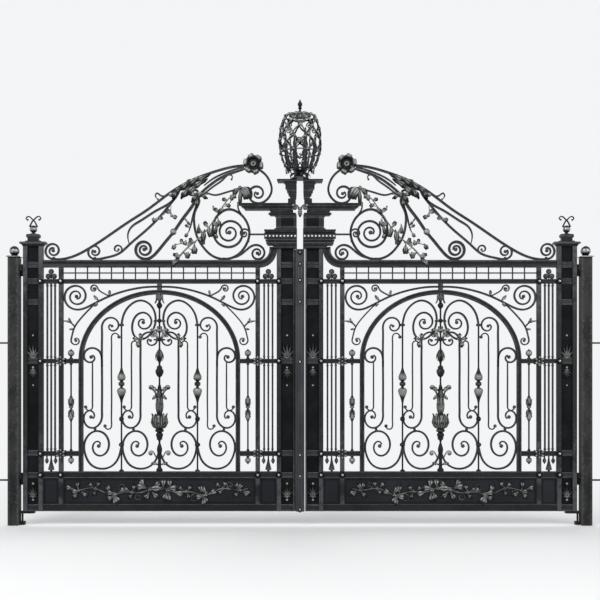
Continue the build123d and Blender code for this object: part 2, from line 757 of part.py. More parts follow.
def crest_scrollwork():
    """The sweep of scrolls that stands on the top rail and climbs to the middle of the gate."""
    drawing = crest_drawing()
    drawing.bar([(54, 359.5), (64, 358.6), (77, 355.8), (90, 351.8), (104.5, 346.4),
                 (117, 340.2), (130, 332.1), (152.6, 315.2), (170.5, 303.6), (187.5, 292),
                 (211, 276.5), (230, 267.5), (246, 265.6)]
                + curl((246, 265.6), (246.8, 274.4), 1.6, 2.4), scroll_bar,
                [((246.8, 274.4), 26)])
    drawing.bar([(119, 339), (124, 328), (134, 319.5), (143.7, 314.3), (160.5, 303.6),
                 (168.5, 298), (172, 291), (170.8, 281)], scroll_bar)
    drawing.bar([(124, 328), (132, 317.9), (143.7, 304.5), (157, 292), (170.5, 280.4),
                 (181, 271.5), (196.6, 266.6), (205, 265.6)]
                + curl((205, 265.6), (205.2, 273.4), 1.4, 2.2), scroll_bar,
                [((205.2, 273.4), 25), ((181, 271), 30)])
    drawing.bar([(102.6, 328), (108, 318.5), (115.5, 308.5), (121.5, 300), (126.7, 292.5),
                 (133, 285), (142, 274), (153, 266)]
                + curl((154.5, 265.8), (155.7, 275.6), 1.8, 2.4), scroll_bar * 1.3,
                [((155.7, 275.6), 27), ((126.7, 292.5), 28)])
    drawing.bar([(117, 340.2), (106, 331), (101, 326), (104.8, 314), (105.8, 302), (103.5, 290),
                 (96.5, 277.5), (87, 268.5), (76, 265.6), (64, 269), (54.5, 279), (50.6, 292),
                 (53.6, 303.5), (61, 312), (71, 315.6), (81, 311), (86.4, 302), (86.8, 292.5)]
                + curl((86.8, 292.5), (70.6, 292.5), -2.1, 2.6), scroll_bar,
                [((70.6, 292.5), 30)])
    drawing.bar([(119, 339), (110, 333), (102.6, 328)], scroll_bar * 1.6)
    drawing.bar([(42, 356), (35, 350.8), (30, 343), (28.4, 334), (32.5, 326), (39, 322)]
                + curl((42.4, 321.6), (42.6, 331.4), 1.4, 2.1), scroll_bar,
                [((42.6, 331.4), 24)])
    # the small scrolls between the great one and the capital
    drawing.bar([(70, 266.4), (63, 268.3), (57.5, 271.6), (53, 275.5), (48.5, 278.8),
                 (43.5, 280), (38.4, 278), (35.6, 273.2)]
                + curl((35.6, 273.2), (42.6, 271.4), 1.25, 2.2),
                scroll_bar, [((42.6, 271.4), 24)])
    drawing.bar([(50.4, 290), (51.5, 294)] + curl((51.5, 294), (55.7, 291.4), -1.3, 1.3),
                fine_scroll_bar, [((55.7, 291.4), 13)])
    drawing.bar([(35.2, 290.6), (43, 290.6), (50.6, 290.6)], fine_scroll_bar)
    # the bars that run together from the flower, and the stem of the lily under them
    drawing.bar([(52, 357.2), (59, 354.8), (70, 351.2), (79, 347.2), (86, 342.8),
                 (92.5, 337.8), (101, 330)], scroll_bar)
    drawing.bar([(70, 351.2), (76, 346.4), (86, 338.9), (93.6, 333), (101, 327.5)],
                fine_scroll_bar)
    drawing.bar([(101, 331), (93.6, 331.9), (86.5, 330), (78.9, 331), (73.8, 332.6),
                 (67.4, 334.5), (60, 337)], fine_scroll_bar, [((60, 337), 18)])
    drawing.bar([(60, 337), (62.5, 331), (62.6, 326), (62, 321)], lily_petal)
    drawing.bar([(60, 337), (54.5, 335.4), (51.2, 331), (51.6, 325.6)], lily_petal)
    drawing.bar([(62.3, 323), (61.6, 316), (58.6, 310.5), (54.4, 305)], fine_scroll_bar)
    drawing.bar([(130.5, 331.2), (134, 329.3), (139.5, 329.6), (143.2, 331.8), (144.6, 329),
                 (143, 326.4)], fine_scroll_bar, [((129, 330.4), 24)])
    # the sheath of leaves in the angle of the bars
    sheath = [drawing.place(point) for point in (
        (129, 331.5), (120, 338.6), (110, 343.6), (100, 347.5), (97, 345.5), (98.5, 338),
        (100, 331.5), (104, 334), (108, 330.6), (113, 330.8), (116.6, 329), (121, 333))]
    drawing.faces.append(make_face(Polyline(*sheath, close=True)))
    field = Pos(leaf_outer / 2, top_rail_top + 600) * Rectangle(leaf_outer, 1200 - 2 * seat_gap)
    corner_middle = meeting_stile_edge + top_rail_top - top_rail_bottom + scroll_end_inside
    hollow = Pos(corner_middle, top_rail_top + scroll_end_inside) * Circle(
        scroll_end_inside - seat_gap)
    left_of_rail = Pos(corner_middle / 2, top_rail_top + scroll_end_inside / 2) * Rectangle(
        corner_middle, scroll_end_inside)
    field = field - left_of_rail + hollow
    for bottom, top, end, depth in capital_steps:
        field -= shadow(0, end, bottom, top)
    field -= shadow(0, frieze_end, frieze_bottom, frieze_top)
    for bottom, top, left, right, depth in upper_capital + cornice_steps:
        field -= shadow(left, right, bottom, top)
    field -= Pos(*drawing.place(flower_place)) * Circle(flower_radius + seat_gap)
    stile_middle = leaf_outer - hinge_stile_width / 2
    cap_reach = hinge_stile_width / 2 + stile_cap_overhang
    field -= shadow(stile_middle - cap_reach, stile_middle + cap_reach, hinge_stile_top,
                    hinge_stile_top + stile_cap_height)
    field -= shadow(hinge_stile_edge, leaf_outer, top_rail_top, hinge_stile_top)
    return plate([(Sketch() + drawing.faces) & field], bar_depth)


def shadow(left, right, bottom, top):
    """A rectangle seen from the front, grown by the gap that seats a neighbour."""
    return Pos((left + right) / 2, (bottom + top) / 2) * Rectangle(
        right - left + 2 * seat_gap, top - bottom + 2 * seat_gap)


def crest_flower():
    """The open flower at the top of the crest: eight cupped petals round a boss."""
    across, height = crest_drawing().place(flower_place)
    petal = Pos(0, flower_radius * 0.58) * Ellipse(flower_radius * 0.28, flower_radius * 0.42)
    petals = [Rot(0, 0, 45 * turn) * petal for turn in range(8)]
    flower = plate([Circle(flower_radius * 0.5)] + petals, bar_depth)
    boss = Rot(90, 0, 0) * Cone(flower_radius * 0.36, flower_radius * 0.2, bar_depth * 2.2)
    return Pos(across, 0, height) * (flower + boss)


# Leaves and vines in low relief

vine_depth = 12
vine_waves = 5
leaf_size = 52


def leaf_shape(place, heading, size):
    """A pointed, lobed leaf drawn from its stalk towards heading, in degrees."""
    outline = [(0, 0), (0.28, 0.3), (0.62, 0.34), (0.5, 0.14), (1, 0), (0.5, -0.14),
               (0.62, -0.34), (0.28, -0.3)]
    leaf = make_face(Polyline(*[(across * size, up * size) for across, up in outline],
                              close=True))
    return Pos(*place) * Rot(0, 0, heading) * leaf


def vine_relief():
    """A waving vine with leaves and tendrils across the kick panel, front and back."""
    left = inner_jamb + jamb_bar_width
    right = outer_jamb
    middle = (bottom_rail_top + dado_rail_bottom) / 2
    reach = (dado_rail_bottom - bottom_rail_top) / 2 - leaf_size * 0.6
    wave = (right - left) / vine_waves
    stem = [(left + scroll_bar + (right - left - 2 * scroll_bar) * step / 50,
             middle + reach * math.sin(2 * math.pi * step / 50 * vine_waves))
            for step in range(51)]
    faces = [band(stem, scroll_bar)]
    for half_wave in range(2 * vine_waves):
        side = 1 if half_wave % 2 == 0 else -1
        across = left + wave * (half_wave + 0.5) / 2
        eye = (across, middle - side * reach * 0.25)
        faces.append(band([(across + wave * 0.2, middle + side * reach * 0.55)]
                          + curl((across + wave * 0.2, middle), eye, -side * 0.9, 12),
                          fine_scroll_bar))
        faces.append(dot(eye, 15))
        faces += [leaf_shape((across, middle + side * reach * 0.9), side * turn, leaf_size)
                  for turn in (25, 155)]
    face = panel_thickness / 2 + vine_depth / 2
    return [plate(faces, vine_depth, -face), plate(faces, vine_depth, face)]


def crest_vine():
    """The vine that climbs the front of the crest, with its leaves."""
    drawing = crest_drawing()
    drawing.bar([(50, 339.5), (60, 335), (69.5, 327.7), (78, 320), (85, 312.5), (94, 297.3),
                 (103.5, 283), (115, 272.3), (121, 267)], fine_scroll_bar)
    for place, heading, size in (((52, 338.5), 80, 78), ((69.5, 327.7), 40, 84),
                                 ((69.5, 327.7), 170, 60), ((85, 312.5), 60, 88),
                                 ((94, 297.3), 20, 84), ((85, 312.5), 200, 66),
                                 ((103.5, 283), 70, 80), ((115, 272.3), 20, 76),
                                 ((103.5, 283), 200, 64)):
        drawing.faces.append(leaf_shape(drawing.place(place), heading, size))
    return plate(drawing.faces, vine_depth, -(bar_depth + vine_depth) / 2)


# The middle of the gate: astragal, clasp and the openwork finial, carried by the left leaf

clasp_height = 3174
clasp_curl = 24
clasp_reach = 75
finial_lift = 8
packing_span = (35, 85)
finial_foot_radius = 90
finial_foot_height = 17
egg_bottom = 3500
egg_top = 4130
egg_radius = 225
egg_widest = 3790
egg_rib = 14
egg_ribs = 8
finial_top = 4254


def clasp():
    """The small double curl in front of the gap between the cornices."""
    front = -stile_depth / 2
    faces = []
    for side in (-1, 1):
        eye = (side * (clasp_reach - clasp_curl), clasp_height)
        start = (side * clasp_reach * 0.2, clasp_height + clasp_curl * 0.4)
        faces.append(band([(0, clasp_height - clasp_curl), start]
                          + curl((eye[0], clasp_height + clasp_curl), eye, -side * 0.9, 10),
                          fine_scroll_bar))
        faces.append(dot(eye, 13))
    faces.append(leaf_shape((0, clasp_height - clasp_curl * 0.6), -90, leaf_size))
    tie_start, tie_end = clasp_reach - clasp_curl / 2, cornice_steps[1][2] - seat_gap
    tie = Pos((tie_start + tie_end) / 2, clasp_height) * Rectangle(
        tie_end - tie_start, fine_scroll_bar)
    return plate(faces + [tie], stile_plate)


def egg_outline(height):
    """The half width of the egg at a height: two quarter ellipses that meet at its waist."""
    end = egg_top if height > egg_widest else egg_bottom
    share = (height - egg_widest) / (end - egg_widest)
    return egg_radius * math.sqrt(max(0, 1 - share * share))


def centre_finial():
    """The openwork egg of upright ribs on its foot, with a leaf cup and a spike."""
    plate_top = cornice_steps[-1][1]
    packing = block(*packing_span, plate_top, plate_top + finial_lift, stile_depth)
    foot_bottom = plate_top + finial_lift
    foot = turned(0, [(foot_bottom, finial_foot_radius),
                      (foot_bottom + finial_foot_height, finial_foot_radius),
                      (foot_bottom + finial_foot_height, 40), (egg_bottom, 34),
                      (egg_bottom + 40, 90), (egg_bottom + 110, 165), (egg_bottom + 118, 160),
                      (egg_bottom + 60, 60), (egg_bottom + 40, 14)])
    heights = [egg_bottom + 6 + (egg_top - egg_bottom - 12) * (1 - math.cos(math.pi * step / 12)) / 2
               for step in range(13)]
    outer = [(egg_outline(height), height) for height in heights]
    inner = [(max(egg_outline(height) - egg_rib, 4), height) for height in heights]
    rib = make_face([Spline(*outer), Line(outer[-1], inner[-1]), Spline(*inner),
                     Line(inner[0], outer[0])])
    rib = extrude(Plane.XZ * rib, amount=egg_rib / 2, both=True)
    ribs = [Rot(0, 0, 360 * turn / egg_ribs) * rib for turn in range(egg_ribs)]
    hoop = Pos(0, 0, egg_widest) * (Cylinder(egg_radius, egg_rib)
                                    - Cylinder(egg_radius - egg_rib, egg_rib))
    spike = turned(0, [(egg_top - 22, 12), (egg_top - 10, 50), (egg_top + 22, 14),
                       (egg_top + 40, 24), (egg_top + 60, 12), (finial_top - 30, 15),
                       (finial_top, 1)])
    return Part() + [packing, foot, hoop, spike] + ribs


# Putting the gate together: each leaf is drawn outwards from the meeting line and set to the
# left or right of it, and each post is drawn at the origin

def save(name, piece):
    """Write the solids of one sub-part to its own file."""
    shapes = piece if isinstance(piece, list) else [piece]
    solids = [solid for shape in shapes for solid in shape.solids()]
    export_step(Compound(solids), "parts/" + name + ".step")


def both_hands(name, piece, left_hand, right_hand):
    """Save a piece for the left and for the right half of the gate."""
    shapes = piece if isinstance(piece, list) else [piece]
    save("left_" + name, [left_hand(shape) for shape in shapes])
    save("right_" + name, [right_hand(shape) for shape in shapes])


def left_leaf(shape):
    return Pos(gate_centre, 0, 0) * mirror(shape, about=Plane.YZ)


def right_leaf(shape):
    return Pos(gate_centre, 0, 0) * shape


def left_post(shape):
    return shape


def right_post(shape):
    return Pos(2 * gate_centre, 0, 0) * mirror(shape, about=Plane.YZ)


post_pieces = {"post": post, "post_cap": post_cap, "wall_ties": wall_ties,
               "hinge_brackets": hinge_brackets}
leaf_pieces = {"meeting_stile": meeting_stile, "hinge_stile": hinge_stile,
               "hinge_straps": hinge_straps, "kick_rails": kick_rails,
               "kick_panel": kick_panel, "vine_relief": vine_relief,
               "jamb_bars": jamb_bars, "reeded_bars": reeded_bars, "cross_rails": cross_rails,
               "grille_rail": grille_rail, "arch_frame": arch_frame, "top_rail": top_rail,
               "meeting_capital": meeting_capital, "head_cornice": head_cornice,
               "hinge_stile_finial": hinge_stile_finial, "centre_baluster": centre_baluster,
               "side_balusters": side_balusters, "bosses": bosses,
               "arch_scrollwork": arch_scrollwork, "spandrel_scrolls": spandrel_scrolls,
               "crest_scrollwork": crest_scrollwork, "crest_flower": crest_flower,
               "crest_vine": crest_vine}
middle_pieces = {"astragal": astragal, "clasp": clasp, "centre_finial": centre_finial}

os.makedirs("parts", exist_ok=True)
for name, make in post_pieces.items():
    both_hands(name, make(), left_post, right_post)
for name, make in leaf_pieces.items():
    both_hands(name, make(), left_leaf, right_leaf)
for name, make in middle_pieces.items():
    save(name, left_leaf(make()))
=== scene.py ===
import math

import bpy
import numpy as np
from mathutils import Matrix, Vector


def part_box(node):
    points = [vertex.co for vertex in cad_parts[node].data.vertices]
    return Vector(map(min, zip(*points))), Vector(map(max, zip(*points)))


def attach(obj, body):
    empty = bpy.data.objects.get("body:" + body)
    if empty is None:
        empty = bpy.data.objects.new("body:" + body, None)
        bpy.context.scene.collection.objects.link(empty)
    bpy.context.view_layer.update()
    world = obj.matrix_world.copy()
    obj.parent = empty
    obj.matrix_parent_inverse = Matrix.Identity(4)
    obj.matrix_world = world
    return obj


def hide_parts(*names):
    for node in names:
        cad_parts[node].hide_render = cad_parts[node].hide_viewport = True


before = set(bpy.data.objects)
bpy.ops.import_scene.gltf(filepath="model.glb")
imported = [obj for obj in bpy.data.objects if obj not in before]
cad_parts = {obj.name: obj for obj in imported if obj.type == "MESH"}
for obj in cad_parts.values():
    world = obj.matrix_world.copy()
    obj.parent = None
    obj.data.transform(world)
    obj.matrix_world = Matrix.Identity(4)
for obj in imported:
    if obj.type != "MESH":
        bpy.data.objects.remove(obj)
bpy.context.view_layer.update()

# The floor, the light and the camera.
# The gate stands on a plain pale floor under an even studio sky, seen at eye height in front of
# the meeting line.
left_post_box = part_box("left_post")
right_post_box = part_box("right_post")
gate_centre = (left_post_box[0].x + right_post_box[1].x) / 2
photo_width = 600
pixels_per_metre = 100
photo_middle_height = 2.25
eye_height = 1.44
eye_distance = 9.5
sensor_width = 36
half_floor = 30
shadow_end = 2.0
floor_end = 7.5
gate_middle = (gate_centre, 0, 1.9)
pale = (0.9, 0.91, 0.92, 1)


def white_background(tree, shaded, kind, share=None):
    """The shading, with a pale glow in its place where it is seen directly, in gloss or in glass.

    share, where it is given, says how much of the glow shows at each point."""
    path = tree.nodes.new("ShaderNodeLightPath").outputs
    shown = path["Is Camera Ray"]
    steps = [("MAXIMUM", path["Is Glossy Ray"]), ("MAXIMUM", path["Is Transmission Ray"])]
    if share:
        steps.append(("MULTIPLY", share))
    for operation, other in steps:
        maths = tree.nodes.new("ShaderNodeMath")
        maths.operation = operation
        tree.links.new(shown, maths.inputs[0])
        tree.links.new(other, maths.inputs[1])
        shown = maths.outputs[0]
    glow = tree.nodes.new(kind)
    glow.inputs["Color"].default_value = pale
    glow.inputs["Strength"].default_value = 1.0
    mixed = tree.nodes.new("ShaderNodeMixShader")
    for number, socket in enumerate((shown, shaded, glow.outputs[0])):
        tree.links.new(socket, mixed.inputs[number])
    return mixed.outputs[0]


world = bpy.data.worlds.new("studio_sky")
world.use_nodes = True
sky = world.node_tree
sky.nodes.clear()
fill = sky.nodes.new("ShaderNodeBackground")
fill.inputs["Color"].default_value = (0.93, 0.96, 1.0, 1)
fill.inputs["Strength"].default_value = 0.75
sky_out = sky.nodes.new("ShaderNodeOutputWorld")
sky.links.new(white_background(sky, fill.outputs[0], "ShaderNodeBackground"), sky_out.inputs[0])
bpy.context.scene.world = world

floor_mesh = bpy.data.meshes.new("floor")
floor_corners = [(gate_centre + side * half_floor, deep * half_floor, 0)
                 for side, deep in ((-1, -1), (1, -1), (1, 1), (-1, 1))]
floor_mesh.from_pydata(floor_corners, [], [(0, 1, 2, 3)])
floor = bpy.data.objects.new("floor", floor_mesh)
bpy.context.scene.collection.objects.link(floor)
floor_paint = bpy.data.materials.new("pale_floor")
floor_paint.use_nodes = True
floor_tree = floor_paint.node_tree
floor_shader = floor_tree.nodes["Principled BSDF"]
floor_shader.inputs["Base Color"].default_value = (0.72, 0.72, 0.71, 1)
floor_shader.inputs["Roughness"].default_value = 0.9
floor_place = floor_tree.nodes.new("ShaderNodeTexCoord")
from_gate = floor_tree.nodes.new("ShaderNodeVectorMath")
from_gate.operation = "DISTANCE"
from_gate.inputs[1].default_value = (gate_centre, -0.5, 0)
floor_tree.links.new(floor_place.outputs["Object"], from_gate.inputs[0])
fade = floor_tree.nodes.new("ShaderNodeMapRange")
fade.interpolation_type = "SMOOTHSTEP"
fade.inputs["From Min"].default_value = shadow_end
fade.inputs["From Max"].default_value = floor_end
floor_tree.links.new(from_gate.outputs["Value"], fade.inputs["Value"])
floor_tree.links.new(white_background(floor_tree, floor_shader.outputs[0], "ShaderNodeEmission",
                                      fade.outputs["Result"]),
                     floor_tree.nodes["Material Output"].inputs[0])
floor_mesh.materials.append(floor_paint)

for lamp_name, aside, back, height, size, power in (("key_lamp", -4.5, -7, 7.5, 5, 620),
                                                    ("fill_lamp", 6, -6, 4, 6, 260),
                                                    ("back_lamp", 1, 7, 7, 6, 300)):
    lamp = bpy.data.lights.new(lamp_name, "AREA")
    lamp.size = size
    lamp.energy = power
    holder = bpy.data.objects.new(lamp_name, lamp)
    holder.location = (gate_centre + aside, back, height)
    along, deep, down = np.array(gate_middle) - np.array(holder.location)
    holder.rotation_euler = (math.atan2(math.hypot(along, deep), -down), 0,
                             math.atan2(along, -deep) + math.pi)
    bpy.context.scene.collection.objects.link(holder)

camera_data = bpy.data.cameras.new("eye")
camera_data.sensor_width = sensor_width
camera_data.lens = eye_distance * pixels_per_metre / photo_width * sensor_width
camera_data.shift_y = (photo_middle_height - eye_height) * pixels_per_metre / photo_width
camera = bpy.data.objects.new("eye", camera_data)
camera.location = (gate_centre, -eye_distance, eye_height)
camera.rotation_euler = (math.pi / 2, 0, 0)
bpy.context.scene.collection.objects.link(camera)
bpy.context.scene.camera = camera
bpy.context.scene.view_settings.view_transform = "Standard"


# The finishes, painted and brushed by hand over the iron.
# Bars carry a near-black satin paint, with painted shade in their hollows and a painted
# highlight on their edges besides wear; castings show pewter dry-brushing on all that stands
# proud, which is also a painted highlight; the recesses are painted shade, the bosses carry a
# painted highlight, the kick panels are a bluer black, and the posts have weathered to a mottled brown.
class Value:
    """A socket of a material under work; arithmetic on it adds the Math nodes."""

    def __init__(self, finish, socket):
        self.finish = finish
        self.socket = socket

    def maths(self, operation, *others, swap=False):
        inputs = [others[0], self] if swap else [self, *others]
        return self.finish.node("Math", {"operation": operation}, inputs)[0]

    def __add__(self, other):
        return self.maths("ADD", other)

    def __radd__(self, other):
        return self.maths("ADD", other)

    def __sub__(self, other):
        return self.maths("SUBTRACT", other)

    def __rsub__(self, other):
        return self.maths("SUBTRACT", other, swap=True)

    def __mul__(self, other):
        return self.maths("MULTIPLY", other)

    def held(self):
        """The value kept between 0 and 1."""
        return self.maths("MINIMUM", 1).maths("MAXIMUM", 0)

    def step(self, low, high):
        """0 below low, 1 above high, and a smooth rise between them."""
        return self.finish.node("MapRange", {"interpolation_type": "SMOOTHSTEP"},
                                {"Value": self, "From Min": low, "From Max": high})[0]


class Finish:
    """A material in the making: node() adds any node and returns its outputs as Values."""

    def __init__(self, name):
        self.material = bpy.data.materials.new(name)
        self.material.use_nodes = True
        self.tree = self.material.node_tree
        self.shader = self.tree.nodes["Principled BSDF"]
        self.place = self.node("TexCoord", {}, {})[3]

    def node(self, kind, settings, inputs):
        made = self.tree.nodes.new("ShaderNode" + kind)
        for name, value in settings.items():
            setattr(made, name, value)
        for socket, value in inputs.items() if isinstance(inputs, dict) else enumerate(inputs):
            self.feed(made.inputs[socket], value)
        return [Value(self, output) for output in made.outputs]

    def feed(self, socket, value):
        if isinstance(value, Value):
            self.tree.links.new(value.socket, socket)
        elif isinstance(value, tuple) and len(value) == 3 and socket.type == "RGBA":
            socket.default_value = (*value, 1)
        else:
            socket.default_value = value

    def noise(self, scale, detail=3, roughness=0.55, stretch=None):
        place = self.place
        if stretch:
            place = self.node("Mapping", {}, {"Vector": place, "Scale": stretch})[0]
        return self.node("TexNoise", {}, {"Vector": place, "Scale": scale, "Detail": detail,
                                          "Roughness": roughness})[0]

    def blend(self, share, first, second):
        """A colour that goes from first to second as share goes from 0 to 1."""
        return self.node("Mix", {"data_type": "RGBA"}, {0: share, 6: first, 7: second})[2]

    def proud(self):
        """How far a point stands proud of its piece, from 0 in a hollow to 1 on a crest."""
        return self.node("Attribute", {"attribute_name": "proud"}, {})[2]

    def upward(self):
        """1 where the surface faces up, 0 where it is upright or faces down."""
        normal = self.node("NewGeometry", {}, {})[1]
        return self.node("SeparateXYZ", {}, {0: normal})[2].held()

    def bump(self, height, distance, strength):
        return self.node("Bump", {}, {"Height": height, "Distance": distance,
                                      "Strength": strength})[0]

    def finish(self, colour, roughness, normal, metallic=0.0, gloss=0.18):
        for name, value in (("Base Color", colour), ("Roughness", roughness),
                            ("Metallic", metallic), ("Normal", normal)):
            self.feed(self.shader.inputs[name], value)
        self.shader.inputs["Specular IOR Level"].default_value = gloss
        return self.material


def satin_black_paint():
    """Near-black satin paint over forged bar: paler on the edges, from wear and as a painted highlight,
    dusty on top faces, and darkened to painted shade in hollows.
    """
    paint = Finish("satin_black_paint")
    cloud = paint.noise(3.1, 4)
    grain = paint.noise(160, 2)
    colour = paint.blend(cloud.step(0.3, 0.7), (0.006, 0.007, 0.008), (0.013, 0.0145, 0.0165))
    # painted shade: the colour falls to near black where a point lies in a hollow
    colour = paint.blend(paint.proud().step(0.0, 0.3), (0.003, 0.0032, 0.0036), colour)
    # the paler edges are wear and also a painted highlight on all that stands proud
    worn = (paint.proud() * 0.9 + paint.noise(22, 5) - 0.98).step(0.0, 0.5)
    colour = paint.blend(worn * 0.7, colour, (0.07, 0.076, 0.082))
    dust = paint.upward() * paint.noise(9, 4).step(0.35, 0.75)
    colour = paint.blend(dust * 0.4, colour, (0.12, 0.115, 0.105))
    roughness = 0.4 + cloud * 0.16 + dust * 0.25
    lumps = paint.noise(38, 3) * 0.6 + grain * 0.25
    return paint.finish(colour, roughness, paint.bump(lumps, 0.0012, 0.55))


def pewter_highlight_casting():
    """Cast iron painted black, with pale pewter where it stands proud: dry-brushing and a painted
    highlight in one.
    """
    paint = Finish("pewter_highlight_casting")
    cloud = paint.noise(14, 4)
    # painted highlight: pale pewter on what stands proud, also standing for dry-brushing
    pewter_and_highlight = (paint.proud() * 1.3 + cloud * 0.7 - 1.08).step(0.0, 0.65)
    colour = paint.blend(pewter_and_highlight, (0.006, 0.0065, 0.007), (0.25, 0.257, 0.248))
    warm = paint.noise(5, 3).step(0.45, 0.75) * pewter_and_highlight
    colour = paint.blend(warm * 0.3, colour, (0.2, 0.185, 0.155))
    roughness = 0.46 - pewter_and_highlight * 0.1 + cloud * 0.1
    lumps = paint.noise(70, 4) * 0.7 + paint.noise(240, 2) * 0.3
    return paint.finish(colour, roughness, paint.bump(lumps, 0.0012, 0.6), metallic=pewter_and_highlight * 0.55)


def rubbed_strip_paint():
    """The astragal's paint, rubbed to a cool grey on the reeds that hands and rain reach."""
    paint = Finish("rubbed_strip_paint")
    cloud = paint.noise(4.5, 5)
    streak = paint.noise(14, 4, stretch=(1, 1, 0.1))
    colour = paint.blend(cloud.step(0.3, 0.72), (0.016, 0.018, 0.0205), (0.03, 0.033, 0.037))
    worn = (paint.proud() * 0.8 + streak - 0.85).step(0.0, 0.5)
    colour = paint.blend(worn * 0.6, colour, (0.095, 0.1, 0.106))
    roughness = 0.42 + cloud * 0.18
    lumps = paint.noise(60, 3) * 0.6 + streak * 0.4
    return paint.finish(colour, roughness, paint.bump(lumps, 0.001, 0.5))


def recess_shade_paint():
    """The same paint in the boxed recesses, darkened as painted shade: the darkest of all."""
    paint = Finish("recess_shade_paint")
    cloud = paint.noise(4, 5)
    colour = paint.blend(cloud.step(0.35, 0.7), (0.0022, 0.0024, 0.0027), (0.0075, 0.008, 0.0088))
    return paint.finish(colour, 0.6 + cloud * 0.2, paint.bump(paint.noise(45, 3), 0.001, 0.4),
                        gloss=0.08)


def glossy_boss_paint():
    """Thick glossy black on the domed bosses, with a painted highlight on their crowns."""
    paint = Finish("glossy_boss_paint")
    cloud = paint.noise(60, 3)
    # painted highlight: a bright metallic spot on the crown of each dome
    crown = (paint.proud() + cloud * 0.25).step(0.98, 1.12)
    colour = paint.blend(cloud.step(0.35, 0.7), (0.003, 0.003, 0.0035), (0.008, 0.0085, 0.009))
    colour = paint.blend(crown, colour, (0.36, 0.37, 0.36))
    return paint.finish(colour, 0.18 + cloud * 0.1, paint.bump(cloud, 0.0006, 0.3),
                        metallic=crown * 0.6, gloss=0.3)


def panel_paint():
    """The blue-black paint of the flat kick panels, rubbed paler towards their middles."""
    paint = Finish("panel_paint")
    cloud = paint.noise(2.2, 5)
    colour = paint.blend(cloud.step(0.3, 0.72), (0.004, 0.005, 0.007), (0.009, 0.011, 0.015))
    streak = paint.noise(6, 4, stretch=(1, 1, 0.12)).step(0.55, 0.8)
    colour = paint.blend(streak * 0.16, colour, (0.04, 0.041, 0.04))
    roughness = 0.36 + cloud * 0.2
    return paint.finish(colour, roughness, paint.bump(paint.noise(55, 3), 0.001, 0.4))


def weathered_post_paint():
    """The posts' dark paint, mottled brown and grey by rain and rust beneath it."""
    paint = Finish("weathered_post_paint")
    mottle = paint.noise(7, 6, 0.65, stretch=(1, 1, 0.45))
    fleck = paint.noise(48, 4)
    colour = paint.blend(mottle.step(0.36, 0.66), (0.007, 0.0075, 0.008), (0.026, 0.025, 0.0245))
    colour = paint.blend(fleck.step(0.56, 0.74) * 0.45, colour, (0.08, 0.076, 0.071))
    worn = (paint.proud() + fleck * 0.8 - 1.05).step(0.0, 0.5)
    colour = paint.blend(worn * 0.5, colour, (0.085, 0.082, 0.08))
    roughness = 0.55 + mottle * 0.25
    lumps = mottle * 0.5 + fleck * 0.5
    return paint.finish(colour, roughness, paint.bump(lumps, 0.0015, 0.6))


bar_finish = satin_black_paint()
cast_finish = pewter_highlight_casting()
strip_finish = rubbed_strip_paint()
recess_shade_finish = recess_shade_paint()
boss_finish = glossy_boss_paint()
panel_finish = panel_paint()
post_finish = weathered_post_paint()


# The posts, which carry both leaves.
# Each is a square hollow section with a bevelled cap plate and a cast ball, and two flat ties are
# welded to its outer face.
sharpest_curve = 38


class Ironwork:
    """Gathers closed surfaces into one piece of a leaf or post.

    Points are (across, through, up) in metres, across from the meeting line outwards. The
    attribute proud says how far each stands out of its surroundings, from 0 to 1."""

    def __init__(self):
        self.points = []
        self.proud = []
        self.faces = []
        self.count = 0

    def grid(self, points, proud=0.5):
        """A tube over rows of points that each go round once, closed by a fan at both ends."""
        rows, columns = points.shape[:2]
        row = np.repeat(np.arange(rows - 1), columns) * columns
        here = np.arange(columns)
        there = (here + 1) % columns
        column, following = np.tile(here, rows - 1), np.tile(there, rows - 1)
        last = (rows - 1) * columns
        start, end = np.full(columns, rows * columns), np.full(columns, rows * columns + 1)
        proud = np.broadcast_to(proud, (rows, columns))
        self.points.append(np.vstack([points.reshape(-1, 3), points[0].mean(0), points[-1].mean(0)]))
        self.proud.append(np.concatenate([proud.ravel(), [proud[0].mean(), proud[-1].mean()]]))
        self.faces.append(self.count + np.stack([row + column, row + columns + column,
                                                 row + columns + following, row + following], 1))
        self.faces.append(self.count + np.stack([here, there, start], 1))
        self.faces.append(self.count + np.stack([last + there, last + here, end], 1))
        self.count += rows * columns + 2

    def piece(self, name, body, side, finish, nodes=()):
        """Makes the object; side 1 is the right half of the gate, -1 the mirrored left half."""
        points = np.vstack(self.points)
        points[:, 0] = gate_centre + side * points[:, 0]
        faces = [face for group in self.faces for face in group[:, ::side].tolist()]
        mesh = bpy.data.meshes.new(name)
        mesh.from_pydata(points.tolist(), [], faces)
        proud = mesh.attributes.new("proud", "FLOAT", "POINT")
        proud.data.foreach_set("value", np.concatenate(self.proud).astype(np.float32))
        mesh.shade_smooth()
        mesh.set_sharp_from_angle(angle=math.radians(sharpest_curve))
        mesh.materials.append(finish)
        made = bpy.data.objects.new(name, mesh)
        bpy.context.scene.collection.objects.link(made)
        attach(made, body)
        if nodes:
            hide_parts(*nodes)


def bar_section(width, depth, bevel=0.0025):
    """The bevelled section of a flat bar: (along the normal, through) points, and how proud."""
    across, deep = width / 2, depth / 2
    bevel = min(bevel, across * 0.4, deep * 0.4)
    ring = [(across, bevel - deep), (across, 0), (across, deep - bevel), (across - bevel, deep),
            (0, deep), (bevel - across, deep), (-across, deep - bevel), (-across, 0),
            (-across, bevel - deep), (bevel - across, -deep), (0, -deep), (across - bevel, -deep)]
    return np.array(ring), np.array([1, 0.25, 1] * 4)


